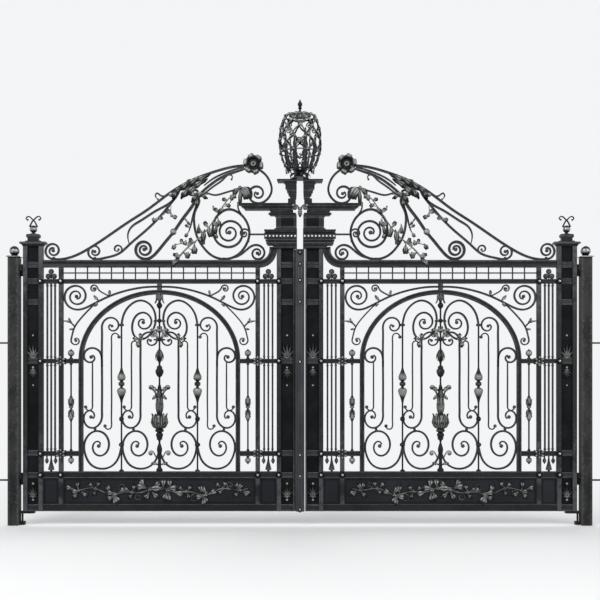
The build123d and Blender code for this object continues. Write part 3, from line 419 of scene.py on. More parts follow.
def carried(work, path, section, scale=1.0, deep_scale=1.0, through=0.0):
    """A section carried along a path of (across, up) points in the plane of the gate.

    Each ring is the point plus normal * scale * first, and through plus deep_scale * second."""
    path = np.asarray(path, float)
    ring, proud = section
    tangent = np.gradient(path, axis=0)
    tangent /= np.linalg.norm(tangent, axis=1)[:, None]
    out = np.outer(np.broadcast_to(scale, len(path)), ring[:, 0])
    across = path[:, :1] - tangent[:, 1:] * out
    up = path[:, 1:] + tangent[:, :1] * out
    deep = through + np.outer(np.broadcast_to(deep_scale, len(path)), ring[:, 1])
    work.grid(np.stack([across, deep, up], 2), proud)


def straight_bar(work, start, end, width, depth, through=0.0, bevel=0.0025):
    """A flat bar from start to end, both (across, up), bevelled on every edge."""
    start, end = np.array(start, float), np.array(end, float)
    bevel = min(bevel, width * 0.2, depth * 0.2)
    step = (end - start) / np.linalg.norm(end - start) * bevel
    path = np.array([start, start + step, end - step, end])
    drawn_in = np.array([1, 0, 0, 1]) * 2 * bevel
    carried(work, path, bar_section(width, depth, bevel), 1 - drawn_in / width,
            1 - drawn_in / depth, through)


def block(work, left, right, bottom, top, depth, through=0.0, bevel=0.0025):
    """A bevelled block, from left to right and bottom to top."""
    middle = (bottom + top) / 2
    straight_bar(work, (left, middle), (right, middle), top - bottom, depth, through, bevel)


def turned(work, across, outline, segments=32, through=0.0):
    """A turned piece about an upright line, from (height, radius) points up its side."""
    height, radius = np.asarray(outline, float)[::-1].T[:, :, None]
    turn = np.linspace(0, 2 * math.pi, segments, endpoint=False)
    work.grid(np.stack([across + radius * np.cos(turn), through + radius * np.sin(turn),
                        height + 0 * turn], 2), np.clip(0.15 + 0.8 * radius / radius.max(), 0, 1))


def ball(height, radius, low_neck, high_neck, steps=14):
    """The (height, radius) points of a ball that stands and ends on necks."""
    first = math.asin(min(low_neck / radius, 1)) - math.pi / 2
    last = math.pi / 2 - math.asin(min(high_neck / radius, 1))
    turn = np.linspace(first, last, steps)
    return np.stack([height + radius * np.sin(turn), radius * np.cos(turn)], 1)


def stacked(work, levels):
    """Stepped and hollowed rectangular mouldings, from (height, left, right, depth) levels.

    A level that is deeper than the seven around it counts as proud, for the paint's worn edges and painted
    highlight; one set back from them counts as a hollow, for its painted shade."""
    height, left, right, depth = np.asarray(levels, float)[::-1].T[:, :, None]
    corner_across, corner_deep = np.array([(1, -1), (1, 1), (0, 1), (0, -1)], float).T
    across = left + (right - left) * corner_across
    around = np.convolve(np.pad(depth[:, 0], 3, "edge"), np.full(7, 1 / 7), "valid")[:, None]
    work.grid(np.stack([across, depth / 2 * corner_deep, height + 0 * across], 2),
              np.clip(0.35 + 90 * (depth - around), 0.05, 1))


post_low, post_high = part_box("right_post")
post_across = (post_low.x + post_high.x) / 2 - gate_centre
post_half = (post_high.x - post_low.x) / 2
post_bevel = 0.007
cap_low, cap_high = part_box("right_post_cap")
cap_half = (cap_high.x - cap_low.x) / 2
cap_plate = 0.015
cap_ball_radius = 0.05
tie_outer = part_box("right_wall_ties")[1].x - gate_centre
tie_size = 0.016
tie_depth = 0.024
tie_heights = (0.45, 1.82)

post = Ironwork()
straight_bar(post, (post_across, 0), (post_across, post_high.z), 2 * post_half, 2 * post_half,
             bevel=post_bevel)
cap = Ironwork()
plate_top = post_high.z + cap_plate
plate_levels = [(post_high.z, cap_half - 0.004), (post_high.z + 0.003, cap_half),
                (post_high.z + cap_plate / 2, cap_half), (plate_top - 0.002, cap_half - 0.012),
                (plate_top, cap_half - 0.02)]
stacked(cap, [(height, post_across - half, post_across + half, 2 * half)
              for height, half in plate_levels])
cap_neck = [(plate_top - 0.001, 0.036), (plate_top + 0.004, 0.034), (plate_top + 0.008, 0.024)]
cap_ball = ball(cap_high.z - cap_ball_radius, cap_ball_radius, 0.022, 0.001)
turned(cap, post_across, np.vstack([cap_neck, cap_ball]))
ties = Ironwork()
for height in tie_heights:
    block(ties, post_across + post_half, tie_outer, height - tie_size / 2, height + tie_size / 2,
          tie_depth)
for side, hand in ((-1, "left"), (1, "right")):
    post.piece(hand + "_post_section", "posts", side, post_finish, [hand + "_post"])
    cap.piece(hand + "_post_ball", "posts", side, boss_finish, [hand + "_post_cap"])
    ties.piece(hand + "_pier_ties", "posts", side, post_finish, [hand + "_wall_ties"])


# The hinges on which the leaves hang.
# Barrels with pins are welded to post and stile, and each leaf turns on a pivot in a bearing
# at the foot; they are plain forgings under the same paint.
for hand in ("left", "right"):
    for name, finish in (("_hinge_brackets", post_finish), ("_hinge_straps", bar_finish)):
        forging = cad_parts[hand + name]
        forging.data.materials.clear()
        forging.data.materials.append(finish)


# The two stiles of each leaf.
# A stile is a box of two upright bars with a set-back plate, cross blocks where rails meet it,
# and leaves and balls of cast iron in its recess.
def extent(node):
    """A right-hand node's box: its inner and outer end from the meeting line, and its height."""
    low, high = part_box(node)
    return low.x - gate_centre, high.x - gate_centre, low.z, high.z


def both_leaves(work, name, finish, *kinds):
    """The same piece on the left leaf and on the right one."""
    for side, hand in ((-1, "left"), (1, "right")):
        work.piece(hand + "_" + name, hand + "_leaf", side, finish,
                   [hand + "_" + kind for kind in kinds])


def from_point(place, reach, heading):
    """The point, or points, at reach from place, towards a heading in degrees."""
    turn = np.radians(heading)
    return np.stack([place[0] + reach * np.cos(turn), place[1] + reach * np.sin(turn)], -1)


def faced(work, place, outline, through, side=-1, segments=24, petals=0, notch=0.0, sharp=1.0,
          turn=0.0, stretch=0.0):
    """A round or petalled casting on a face, from (reach, rise) points from its middle out.

    At angle t its reach is scaled by (1 - notch * |sin(petals * t / 2)| ** sharp) and by
    (1 + stretch * cos(t)); turn sets in degrees where t starts."""
    reach, rise = np.asarray(outline, float).T[:, :, None]
    angle = np.linspace(0, 2 * math.pi, segments, endpoint=False)
    cut = np.abs(np.sin(petals * angle / 2)) ** sharp * reach / reach.max()
    swell = reach * (1 - notch * cut) * (1 + stretch * np.cos(angle))
    angle = angle + math.radians(turn)
    dip = cut * (notch > 0)
    points = np.stack([place[0] + swell * np.cos(angle), through + side * rise * (1 - 0.45 * dip),
                       place[1] + swell * np.sin(angle)], 2)
    proud = np.clip(0.2 + 0.8 * rise / rise.max() - 0.5 * dip, 0, 1)
    work.grid(points[::-side], proud[::-side])


def dome(radius, rise, steps=8):
    """The (reach, rise) points of a low dome."""
    turn = np.linspace(0.02, math.pi / 2, steps)
    return np.stack([radius * np.sin(turn), rise * np.cos(turn)], 1)


def leaf_ring():
    """Shares of a leaf's half width round its section: over its front, then back behind."""
    front = np.linspace(-1, 1, 9)
    ring = np.concatenate([front, front[-2:0:-1]])
    return ring, np.arange(len(ring)) < len(front)


def cast_leaf(work, start, heading, length, width, through, side=-1, lobes=4, rise=0.01,
              thickness=0.004, bend=0.0, tip_out=0.0, dark=0.0):
    """A lobed leaf from its stalk at start towards heading, in degrees, bending by bend.

    At share s of its length and v of its half width, its half width is that of a lance,
    width / 2 * sin(pi * s ** 0.7) ** 0.8, cut between the lobes; it rises by
    rise * (1 - v * v) with a groove at the midrib, and tip_out lifts it towards its tip; dark
    keeps the pewter and its painted highlight off all but its ridges."""
    share = np.linspace(0.001, 0.999, 6 * lobes + 1)[:, None]
    ring, is_front = leaf_ring()
    angle = np.radians(heading + bend * share)
    steps = np.hstack([np.cos(angle), np.sin(angle)])[:-1] * length / (len(share) - 1)
    midrib = np.concatenate([[[0, 0]], np.cumsum(steps, 0)]) + np.array(start, float)
    lance = np.sin(math.pi * share ** 0.7) ** 0.8
    wave = np.cos(2 * math.pi * lobes * share)
    half = width / 2 * lance * (1 - 0.21 * (1 - wave) * (share < 0.93))
    lean = np.abs(ring) ** 2 * length / lobes * 0.45 * lance
    across = midrib[:, :1] - np.sin(angle) * half * ring + np.cos(angle) * lean
    up = midrib[:, 1:] + np.cos(angle) * half * ring + np.sin(angle) * lean
    relief = rise * lance * (1 - ring ** 2 - 0.5 * np.exp(-(ring / 0.16) ** 2)
                             + 0.35 * np.abs(ring) * wave)
    lift = tip_out * share ** 2 + np.where(is_front, thickness + np.maximum(relief, 0), 0)
    proud = np.where(is_front, np.clip(0.3 - dark + relief / rise * 0.9, 0, 1), 0.2)
    work.grid(np.stack([across, through + side * lift, up], 2)[:, ::-side], proud[:, ::-side])


leaf_inner, meeting_edge, leaf_bottom, meeting_top = extent("right_meeting_stile")
hinge_edge, leaf_outer, _, hinge_top = extent("right_hinge_stile")
bottom_rail_top, dado_bottom = extent("right_kick_panel")[2:]
stile_depth = 0.05
stile_bar = 0.045
inner_stile_bar = 0.018
stile_plate = 0.014
recess_bead = 0.008
cross_block = 0.058
cross_block_depth = 0.042
cross_blocks = (0.5, 0.72, 1.64, 2.228, 2.436, 2.6)
stile_balls = ((0.253, 0.016), (0.415, 0.016), (1.397, 0.013), (1.575, 0.016), (1.895, 0.014))
stile_leaves = ((0.275, 90, 0.115), (1.56, -90, 0.1), (1.665, 90, 0.145))


def stile(work, plates, left, right, left_bar, right_bar, top):
    """The bars, plate, beads and cross blocks of a stile."""
    recess_left, recess_right = left + left_bar, right - right_bar
    for start, end in ((left, recess_left), (recess_right, right)):
        block(work, start, end, leaf_bottom, top, stile_depth, bevel=0.003)
    block(plates, recess_left, recess_right, leaf_bottom, top, stile_plate)
    block(work, recess_left, recess_right, leaf_bottom, bottom_rail_top, cross_block_depth)
    for height in cross_blocks:
        for low, high, set_back, bevel in ((-0.5, 0.5, 0.012, 0.0025), (-0.5, -0.12, 0.004, 0.004),
                                           (0.1, 0.5, 0.008, 0.004)):
            block(work, recess_left, recess_right, height + cross_block * low,
                  height + cross_block * high, cross_block_depth - set_back, bevel=bevel)
    for face in (-1, 1):
        for edge in (recess_left + recess_bead / 2, recess_right - recess_bead / 2):
            straight_bar(plates, (edge, leaf_bottom), (edge, top), recess_bead, recess_bead,
                         face * (stile_plate + recess_bead) / 2)


def fan(work, across, foot, heading, length, through, side):
    """A fan of seven slender leaves on one stalk, their tips curling out, with a ball at its foot."""
    for turn, share, width in ((-58, 0.4, 0.17), (58, 0.4, 0.17), (-34, 0.74, 0.2), (34, 0.74, 0.2),
                               (-15, 0.9, 0.19), (15, 0.9, 0.19), (0, 1, 0.2)):
        cast_leaf(work, (across, foot), heading + turn, length * share, length * width, through,
                  side, 1, 0.012, 0.004, turn * 0.6, 0.01)
    faced(work, (across, foot + math.copysign(0.008, heading)), dome(0.012, 0.014), through, side,
          16)


meeting_stile = Ironwork()
hinge_stile = Ironwork()
stile_plates = Ironwork()
stile(meeting_stile, stile_plates, leaf_inner, meeting_edge, inner_stile_bar, stile_bar, meeting_top)
stile(hinge_stile, stile_plates, hinge_edge, leaf_outer, stile_bar, stile_bar, hinge_top)
both_leaves(meeting_stile, "boxed_meeting_stile", bar_finish, "meeting_stile")
both_leaves(hinge_stile, "boxed_hinge_stile", bar_finish, "hinge_stile")
# the set-back plates carry painted shade
both_leaves(stile_plates, "recessed_stile_plates", recess_shade_finish)
recess_castings = Ironwork()
for middle in ((leaf_inner + inner_stile_bar + meeting_edge - stile_bar) / 2,
               (hinge_edge + leaf_outer) / 2):
    for face in (-1, 1):
        for height, radius in stile_balls:
            faced(recess_castings, (middle, height), dome(radius, radius), face * stile_plate / 2,
                  face, 20)
        for height, heading, length in stile_leaves:
            fan(recess_castings, middle, height, heading, length, face * stile_plate / 2, face)
both_leaves(recess_castings, "stile_leaves", cast_finish)


# The kick band at the foot of each leaf.
# Two moulded rails hold sheet panels in beaded frames, and the middle panel carries a cast vine
# with bunches of leaves, tendrils and berries on both sides.
def two_faced(height, reach, proud):
    """A rail's section round both faces, from the points up its front; its back mirrors it."""
    front, back = np.stack([height, -reach], 1), np.stack([height, reach], 1)
    return np.vstack([front, back[::-1]]), np.concatenate([proud, proud[::-1]])


def moulded(work, left, right, profile):
    """A rail with mouldings, from (height, reach) points up its front."""
    height, reach = np.asarray(profile, float).T
    proud = 0.2 + 0.8 * (reach - reach.min()) / max(np.ptp(reach), 1e-6)
    carried(work, [(left, 0), (right, 0)], two_faced(height, reach, proud))


def rail_profile(bottom, top, depth, lip=0.008, rise=0.005):
    """A flat rail with a round lip along its lower and its upper edge."""
    turn = np.linspace(-90, 90, 7)
    sine, cosine = np.sin(np.radians(turn)) * lip / 2, np.cos(np.radians(turn)) * rise
    edge = np.stack([lip / 2 + sine, depth / 2 - rise + cosine], 1)
    return np.vstack([edge + (bottom, 0), edge + (top - lip, 0)])


dado_top = extent("right_kick_rails")[3]
rail_depth = 0.04
panel_thickness = 0.008
inner_jamb, outer_jamb_edge = extent("right_jamb_bars")[:2]
jamb_bar = 0.045
outer_jamb = outer_jamb_edge - jamb_bar
panel_bays = ((meeting_edge, inner_jamb), (inner_jamb + jamb_bar, outer_jamb),
              (outer_jamb_edge, hinge_edge))
narrow_bays = panel_bays[::2]
kick_rails = Ironwork()
moulded(kick_rails, meeting_edge, hinge_edge, rail_profile(leaf_bottom, bottom_rail_top, rail_depth))
moulded(kick_rails, meeting_edge, hinge_edge, rail_profile(dado_bottom, dado_top, rail_depth, 0.012))
both_leaves(kick_rails, "moulded_kick_rails", bar_finish, "kick_rails")

kick_panel = Ironwork()
bead = 0.01
for left, right in panel_bays:
    block(kick_panel, left, right, bottom_rail_top, dado_bottom, panel_thickness, bevel=0.0005)
    for face in (-1, 1):
        deep = face * (panel_thickness + bead) / 2
        for inset, size in ((bead / 2, bead), (bead * 1.9, bead * 0.5)):
            low, high = bottom_rail_top + inset, dado_bottom - inset
            sheet = deep - face * (bead - size) / 2
            for height in (low, high):
                straight_bar(kick_panel, (left, height), (right, height), size, size, sheet)
            for across in (left + inset, right - inset):
                straight_bar(kick_panel, (across, low), (across, high), size, size, sheet)
both_leaves(kick_panel, "beaded_kick_panel", panel_finish, "kick_panel")


def smooth_line(points, spacing=0.013):
    """A natural cubic spline through the points by chord length, sampled at even spacing."""
    points = np.asarray(points, float)
    run = np.diff(points, axis=0)
    chord = np.linalg.norm(run, axis=1)
    knots = np.concatenate([[0], np.cumsum(chord)])
    inner = np.arange(1, len(points) - 1)
    system = np.eye(len(points))
    system[inner, inner - 1] = chord[:-1]
    system[inner, inner] = 2 * (chord[:-1] + chord[1:])
    system[inner, inner + 1] = chord[1:]
    wanted = np.zeros_like(points)
    wanted[1:-1] = 6 * np.diff(run / chord[:, None], axis=0)
    bend = np.linalg.solve(system, wanted)
    at = np.linspace(0, knots[-1], max(4, math.ceil(knots[-1] / spacing)))
    span = np.clip(np.searchsorted(knots, at, "right") - 1, 0, len(chord) - 1)
    before, after, long = at - knots[span], knots[span + 1] - at, chord[span]
    before, after, long = before[:, None], after[:, None], long[:, None]
    return ((bend[span] * after ** 3 + bend[span + 1] * before ** 3) / (6 * long)
            + (points[span] / long - bend[span] * long / 6) * after
            + (points[span + 1] / long - bend[span + 1] * long / 6) * before)


def round_section(radius, flat=1.0):
    """A round bar's section, or an oval one where flat isn't 1."""
    turn = np.linspace(-math.pi / 2, 1.5 * math.pi, 10, endpoint=False)
    ring = np.stack([radius * np.cos(turn), radius * flat * np.sin(turn)], 1)
    return ring, 0.45 + 0.4 * np.abs(np.sin(turn))


def curl(start, eye, turns, end_radius, tall=1):
    """Points of a spiral from start round the eye: its radius shrinks evenly to end_radius."""
    across, up = start[0] - eye[0], (start[1] - eye[1]) / tall
    share = np.linspace(0, 1, max(3, round(abs(turns) * 10)) + 1)[1:]
    reach = math.hypot(across, up) * (1 - share) + end_radius * share
    turn = math.atan2(up, across) + 2 * math.pi * turns * share
    return [tuple(point) for point in np.stack([eye[0] + reach * np.cos(turn),
                                                eye[1] + reach * tall * np.sin(turn)], 1)]


vine_stem = 0.011
vine_left, vine_right = panel_bays[1]
vine_middle = (bottom_rail_top + dado_bottom) / 2
vine_room = (dado_bottom - bottom_rail_top) / 2
berry_ring = 0.011
vine_bunches = ((0.08, 0.9, (150, 195, 70, -60, -130)), (0.17, 0.8, (60, -50, 120)),
                (0.26, 1.1, (100, 35, -80, -25, 165, -140)), (0.36, 0.8, (50, -120, 140)),
                (0.455, 1.25, (110, 62, 20, -100, -50, 160, -150)),
                (0.55, 1.25, (75, 125, 25, -75, -120, 165)), (0.64, 0.8, (45, -60, 110)),
                (0.73, 1.1, (80, 130, -95, -40, 20, -150)), (0.83, 0.8, (60, -70, 125)),
                (0.92, 0.95, (30, -15, 100, -70, -130)))
vine_tendrils = ((0.125, 1, 0.04), (0.31, -1, 0.045), (0.405, 1, 0.036), (0.6, -1, 0.042),
                 (0.685, 1, 0.045), (0.875, -1, 0.036))


def on_vine(share):
    """Points of the stem, which rises and falls in two slow waves that aren't in step."""
    wave = 0.2 * np.sin(15.7 * share) + 0.12 * np.sin(38 * share + 1.1)
    return np.stack([vine_left + (vine_right - vine_left) * share, vine_middle + vine_room * wave], -1)


vine = Ironwork()
stem_ring, stem_proud = round_section(vine_stem)
stem_proud -= 0.12
for face in (-1, 1):
    panel_face = face * panel_thickness / 2
    share = np.linspace(0.04, 0.96, 200)
    carried(vine, on_vine(share), (stem_ring, stem_proud), 0.75 + 0.35 * np.sin(np.pi * share),
            through=panel_face + face * 0.006)
    for share, size, headings in vine_bunches:
        place = on_vine(share)
        for number, heading in enumerate(headings):
            odd = number % 2
            upright_part = math.sin(math.radians(heading))
            along = 0.016 * (number - len(headings) / 2) * (1 if odd else -1)
            long = size * (0.1 if abs(upright_part) > 0.6 else 0.118)
            cast_leaf(vine, place + (along, 0.008 * upright_part), heading, long, long * 0.5,
                      panel_face + face * 0.002 * (number % 3), face, 2, 0.02, 0.005,
                      40 if odd else -40, 0.006, 0.1)
        for berry in range(3):
            faced(vine, from_point(place, berry_ring, 90 + 120 * berry),
                  dome(0.011 * size, 0.021, 5), panel_face, face, 10)
    for share, way, reach in vine_tendrils:
        across, up = on_vine(share)
        line = smooth_line([(across, up)] + curl((across + reach, up + way * reach * 0.5),
                                                 (across + reach * 0.3, up + way * reach * 1.05),
                                                 way * 1.2, 0.006), 0.008)
        carried(vine, line, (stem_ring * 0.7, stem_proud), np.linspace(1, 0.6, len(line)),
                through=panel_face + face * 0.005)
both_leaves(vine, "panel_vine", cast_finish, "vine_relief")


# The upright bars beside each arch and the rails between them.
# Square jamb bars run the full height, three slim bars stand in each narrow bay, and the cross
# rails, the second rail and its short bars are let in between.
lower_rail_bottom, mid_rail_top = extent("right_cross_rails")[2:]
lower_rail_top = lower_rail_bottom + 0.05
mid_rail_bottom = mid_rail_top - 0.046
second_rail_bottom, top_rail_bottom = extent("right_grille_rail")[2:]
second_rail_top = second_rail_bottom + 0.046
inner_leg, outer_leg_edge, _, arch_crown = extent("right_arch_frame")
arch_bar = 0.047
inner_leg += arch_bar
outer_leg = outer_leg_edge - arch_bar
arch_centre = (inner_leg + outer_leg) / 2
arch_half = (outer_leg - inner_leg) / 2
reed_width = 0.018
reed_count = 3
reed_collar = 0.026
reed_collar_height = 0.012
grille_bar = 0.013
grille_pitch = 0.122
grille_mid = 2.52
jambs = Ironwork()
for left in (inner_jamb, outer_jamb):
    for bottom, top in ((bottom_rail_top, dado_bottom), (dado_top, second_rail_bottom),
                        (second_rail_top, top_rail_bottom)):
        block(jambs, left, left + jamb_bar, bottom, top, rail_depth, bevel=0.004)
both_leaves(jambs, "square_jamb_bars", bar_finish, "jamb_bars")

reeds = Ironwork()
reed_runs = ((lower_rail_top, mid_rail_bottom), (mid_rail_top, second_rail_bottom))
for left, right in narrow_bays:
    for reed in range(1, reed_count + 1):
        across = left + (right - left) * reed / (reed_count + 1)
        for bottom, top in reed_runs:
            straight_bar(reeds, (across, bottom), (across, top), reed_width, reed_width, bevel=0.003)
            for height in (bottom + 0.02, top - 0.02):
                block(reeds, across - reed_collar / 2, across + reed_collar / 2,
                      height - reed_collar_height / 2, height + reed_collar_height / 2, reed_collar)
both_leaves(reeds, "slim_reeds", bar_finish, "reeded_bars")

cross_rails = Ironwork()
for left, right in (panel_bays[0], (inner_jamb + jamb_bar, inner_leg - arch_bar),
                    (outer_leg_edge, outer_jamb), panel_bays[2]):
    for bottom, top in ((lower_rail_bottom, lower_rail_top), (mid_rail_bottom, mid_rail_top)):
        moulded(cross_rails, left, right, rail_profile(bottom, top, rail_depth, 0.008, 0.004))
both_leaves(cross_rails, "moulded_cross_rails", bar_finish, "cross_rails")

grille = Ironwork()
moulded(grille, meeting_edge, hinge_edge, rail_profile(second_rail_bottom, second_rail_top,
                                                       rail_depth, 0.009, 0.005))
grille_left, grille_right = panel_bays[1]
block(grille, grille_left, grille_right, grille_mid - grille_bar / 2, grille_mid + grille_bar / 2,
      grille_bar)
spaces = round((grille_right - grille_left) / grille_pitch)
for bar in range(1, spaces):
    across = grille_left + (grille_right - grille_left) * bar / spaces
    straight_bar(grille, (across, second_rail_top), (across, top_rail_bottom), grille_bar, grille_bar)
    faced(grille, (across, grille_mid), dome(0.011, 0.006), -grille_bar / 2, -1, 12)
both_leaves(grille, "grille_row", bar_finish, "grille_rail")


# The arch of each leaf.
# One flat bar is bent round the crown and welded to two legs on the dado rail; a thin bead runs
# along both edges of its face.
arch_spring = 1.65
arch_rise = arch_crown - arch_bar - arch_spring
bead_radius = 0.008


def arch_line(inset):
    """The arch's line from one foot over the crown to the other, inset from its inner edge.

    Up to arch_spring it is straight; above it is the half ellipse (a cos t, b sin t)."""
    turn = np.linspace(math.pi, 0, 73)
    half, rise = arch_half + inset, arch_rise + inset
    crown = np.stack([arch_centre + half * np.cos(turn), arch_spring + rise * np.sin(turn)], 1)
    legs = np.linspace(dado_top, arch_spring, 12)[:-1]
    left = np.stack([np.full(len(legs), arch_centre - half), legs], 1)
    right = np.stack([np.full(len(legs), arch_centre + half), legs[::-1]], 1)
    return np.vstack([left, crown, right])


arch = Ironwork()
carried(arch, arch_line(arch_bar / 2), bar_section(arch_bar, rail_depth - 2 * bead_radius, 0.003))
for face in (-1, 1):
    for inset in (bead_radius, arch_bar - bead_radius):
        carried(arch, arch_line(inset), round_section(bead_radius),
                through=face * (rail_depth / 2 - bead_radius))
both_leaves(arch, "beaded_arch", bar_finish, "arch_frame")


# The scrollwork that fills each arch.
# Flat bar is drawn out at its ends and curled hot; the scrolls stand on the dado rail, touch the
# arch and each other, and are collared or welded where they touch.
scroll_bar = 0.02
fine_bar = 0.0145
scroll_depth = 0.024
collar_depth = 0.034
eye_share = 0.78
drawn_out_share = 0.3


class Pattern:
    """Scrolls drawn on squares of 10 mm and stretched to the panel that they fill."""

    def __init__(self, work, middle, foot, drawn_foot, across_scale, up_scale, both_sides):
        self.work = work
        self.middle = middle
        self.foot = foot
        self.drawn_foot = drawn_foot
        self.across_scale = across_scale
        self.up_scale = up_scale
        self.sides = (1, -1) if both_sides else (1,)

    def place(self, points, side=1):
        across, up = np.atleast_2d(np.asarray(points, float)).T
        return np.stack([self.middle + side * across * self.across_scale,
                         self.foot + (up - self.drawn_foot) * self.up_scale], 1)

    def bar(self, points, width=scroll_bar, ends=(), tapered=(1.0, 0.72), depth=scroll_depth):
        """A bent bar that thins towards its ends, with round eyes of (place, radius) in mm."""
        for side in self.sides:
            line = smooth_line(self.place(points, side))
            share = np.linspace(0, 1, len(line))
            taper = 1
            for end, run in zip(tapered, (share, 1 - share)):
                taper = taper * (end + (1 - end) * np.clip(run / drawn_out_share, 0, 1) ** 0.7)
            carried(self.work, line, bar_section(width, depth), taper, 0.25 + 0.75 * taper)
            for place, radius in ends:
                self.eye(place, radius * eye_share / 1000, side, depth)

    def scroll(self, points, eye, turns, end_radius, eye_radius, width=scroll_bar,
               tapered=(1.0, 0.72), tall=1):
        """A bent bar that goes on from its last point in a spiral round its eye."""
        self.bar(points + curl(points[-1], eye, turns, end_radius, tall), width,
                 [(eye, eye_radius)], tapered)

    def eye(self, place, radius, side=1, depth=scroll_depth):
        """The round snub end of a scroll, domed on both faces."""
        turn = np.linspace(-math.pi / 2, math.pi / 2, 9)[:, None]
        around = np.linspace(0, 2 * math.pi, 20, endpoint=False)
        across, up = self.place(place, side)[0]
        reach = radius * np.maximum(np.cos(turn), 0.03) ** 0.6
        points = np.stack([across + reach * np.cos(around),
                           np.broadcast_to(-depth * 0.62 * np.sin(turn), (9, 20)),
                           up + reach * np.sin(around)], 2)
        self.work.grid(points[::-1], 0.3 + 0.6 * np.abs(np.sin(turn)))

    def collar(self, place, width, height):
        """A collar wrapped round bars where they touch, sized in mm."""
        for side in self.sides:
            across, up = self.place(place, side)[0]
            block(self.work, across - width / 2000, across + width / 2000,
                  up - height / 2000, up + height / 2000, collar_depth, bevel=0.003)


def upright(across, start, end):
    """Points of a straight upright run, close together at its ends so that it stays straight."""
    return [(across, start + (end - start) * share) for share in (0, 0.05, 0.15, 0.5, 0.85, 0.95, 1)]


drawn_half, drawn_foot, drawn_crown = 76.1, 53.7, 230.5
arch_work = Ironwork()
arch_up = (arch_rise + arch_spring - dado_top) / (drawn_crown - drawn_foot)
arch_scrolls = Pattern(arch_work, arch_centre, dado_top, drawn_foot, arch_half / drawn_half,
                       arch_up, True)
# the main bars, hooked outwards at the foot and curled inwards at the head
for across, top, eye_across in ((19, 184.5, 9), (57.5, 199, 47.5)):
    foot_eye = (across + 11, 108)
    arch_scrolls.bar(curl((across, top), (eye_across, top), 1.15, 1.9)[::-1]
                     + upright(across, top, 108) + curl((across, 108), foot_eye, 1.1, 2.4, 1.2),
                     scroll_bar, [(foot_eye, 24), ((eye_across, top), 20)], (0.7, 0.7))
# the slim bars between them, with a ball at each hooked end
for across, top, top_reach, foot, foot_reach in ((28, 181, 6, 118, 7.3), (48, 188, 7.4, 99, 6.5),
                                                 (67, 162.5, 0, 118, 6.8)):
    points = upright(across, top, foot)
    ends = [((across + foot_reach, foot), 22)]
    if top_reach:
        ends.append(((across - top_reach, top), 22))
        points = curl((across, top), (across - top_reach / 2, top), 0.45,
                      top_reach / 2)[::-1] + points
    points += curl((across, foot), (across + foot_reach / 2, foot), 0.45, foot_reach / 2)
    arch_scrolls.bar(points, fine_bar, ends, (0.9, 0.9), 0.016)
arch_scrolls.bar([(57.5, 158), (57.5, 163)] + curl((57.6, 168), (68.4, 168), -1.15, 2.2),
                 scroll_bar, [((68.4, 168), 24)])
# the row of tall scrolls along the foot
for first, offset in (((1.2, 71), 0), ((38.3, 77.5), 38.5)):
    run = [(across + offset, up) for across, up in ((4.6, 63.5), (11, 58), (20, 56.3), (29.5, 60),
                                                    (35.2, 69), (36.8, 80))]
    arch_scrolls.scroll([first] + run, (22.3 + offset, 79), 1.4, 2.2, 25, tall=1.2)
# the great scroll in the head of the arch
arch_scrolls.scroll([(38, 200), (35.5, 211), (28.5, 220.5), (19, 224.5), (9.5, 220.5), (4.6, 212),
                     (4.2, 202), (8, 192.5), (16, 186.2), (23.5, 187.5), (27, 194), (26.6, 203),
                     (22.5, 210), (16, 212.4)], (16.2, 202.6), 1.1, 2.2, 24)
for place, width, height in (((38, 200), 46, 24), ((26, 95.6), 24, 24), ((64.4, 95.8), 24, 24),
                             ((38, 80.3), 40, 14), ((3.2, 204), 52, 16), ((3.2, 185.3), 52, 16)):
    arch_scrolls.collar(place, width, height)
both_leaves(arch_work, "arch_scrolls", bar_finish, "arch_scrollwork")


# The turned and cast uprights: the knotted bars, the centre baluster and the side balusters.
# They are iron castings threaded on square bar, with leaves cast on in relief, and their pewter
# dry-brushing also stands as a painted highlight.
leaf_thickness = 0.003
leaf_relief = 0.004


def placed(outline, foot, head):
    """A drawn outline of (height, radius) in mm, stretched to run from foot to head."""
    height, radius = np.asarray(outline, float).T
    share = (height - height[0]) / (height[-1] - height[0])
    return np.stack([foot + share * (head - foot), radius / 1000], 1)


def smooth_outline(outline, spacing=0.006):
    """The outline as a spline through its points, never thinner than its thinnest point."""
    line = smooth_line(outline, spacing)
    line[:, 1] = np.maximum(line[:, 1], np.min(outline, 0)[1] * 0.9)
    return line


def standing_leaf(work, across, azimuth, midrib, width, lobes):
    """A leaf that stands round an upright line, its midrib a spline of (height, reach) points.

    At half width v it lies at the angle azimuth + v * width / reach, so that it hugs a turned
    body; its width follows a lance that is cut between its lobes."""
    line = smooth_line(midrib, 0.006)
    way = 1 if line[-1, 0] > line[0, 0] else -1
    height, reach = line.T[:, :, None]
    share = np.linspace(0.001, 0.999, len(line))[:, None]
    ring, is_front = leaf_ring()
    lance = np.sin(math.pi * share ** 0.75) ** 0.7
    cut = 0.5 - 0.5 * np.cos(2 * math.pi * lobes * share)
    half = width / 2 * lance * (1 - 0.35 * cut * (share < 0.92)) + 0.0012
    slope = np.gradient(line, axis=0)
    slope /= np.linalg.norm(slope, axis=1)[:, None]
    rise = (np.cos(2.5 * math.pi * ring) * 0.5 + 0.5 * (1 - ring ** 2)) * lance
    lift = way * np.where(is_front, leaf_thickness + leaf_relief * rise, 0)
    turn = math.radians(azimuth) + half * ring / np.maximum(reach, 0.014)
    reach = reach + lift * slope[:, :1]
    points = np.stack([across + reach * np.cos(turn), reach * np.sin(turn),
                       height - lift * slope[:, 1:]], 2)
    proud = np.where(is_front, np.clip(0.35 + rise, 0, 1), 0.3)
    work.grid(points[:, ::-way], proud[:, ::-way])


def facing(heading, side):
    """A heading in degrees, mirrored for the half towards the meeting line."""
    return heading if side > 0 else 180 - heading


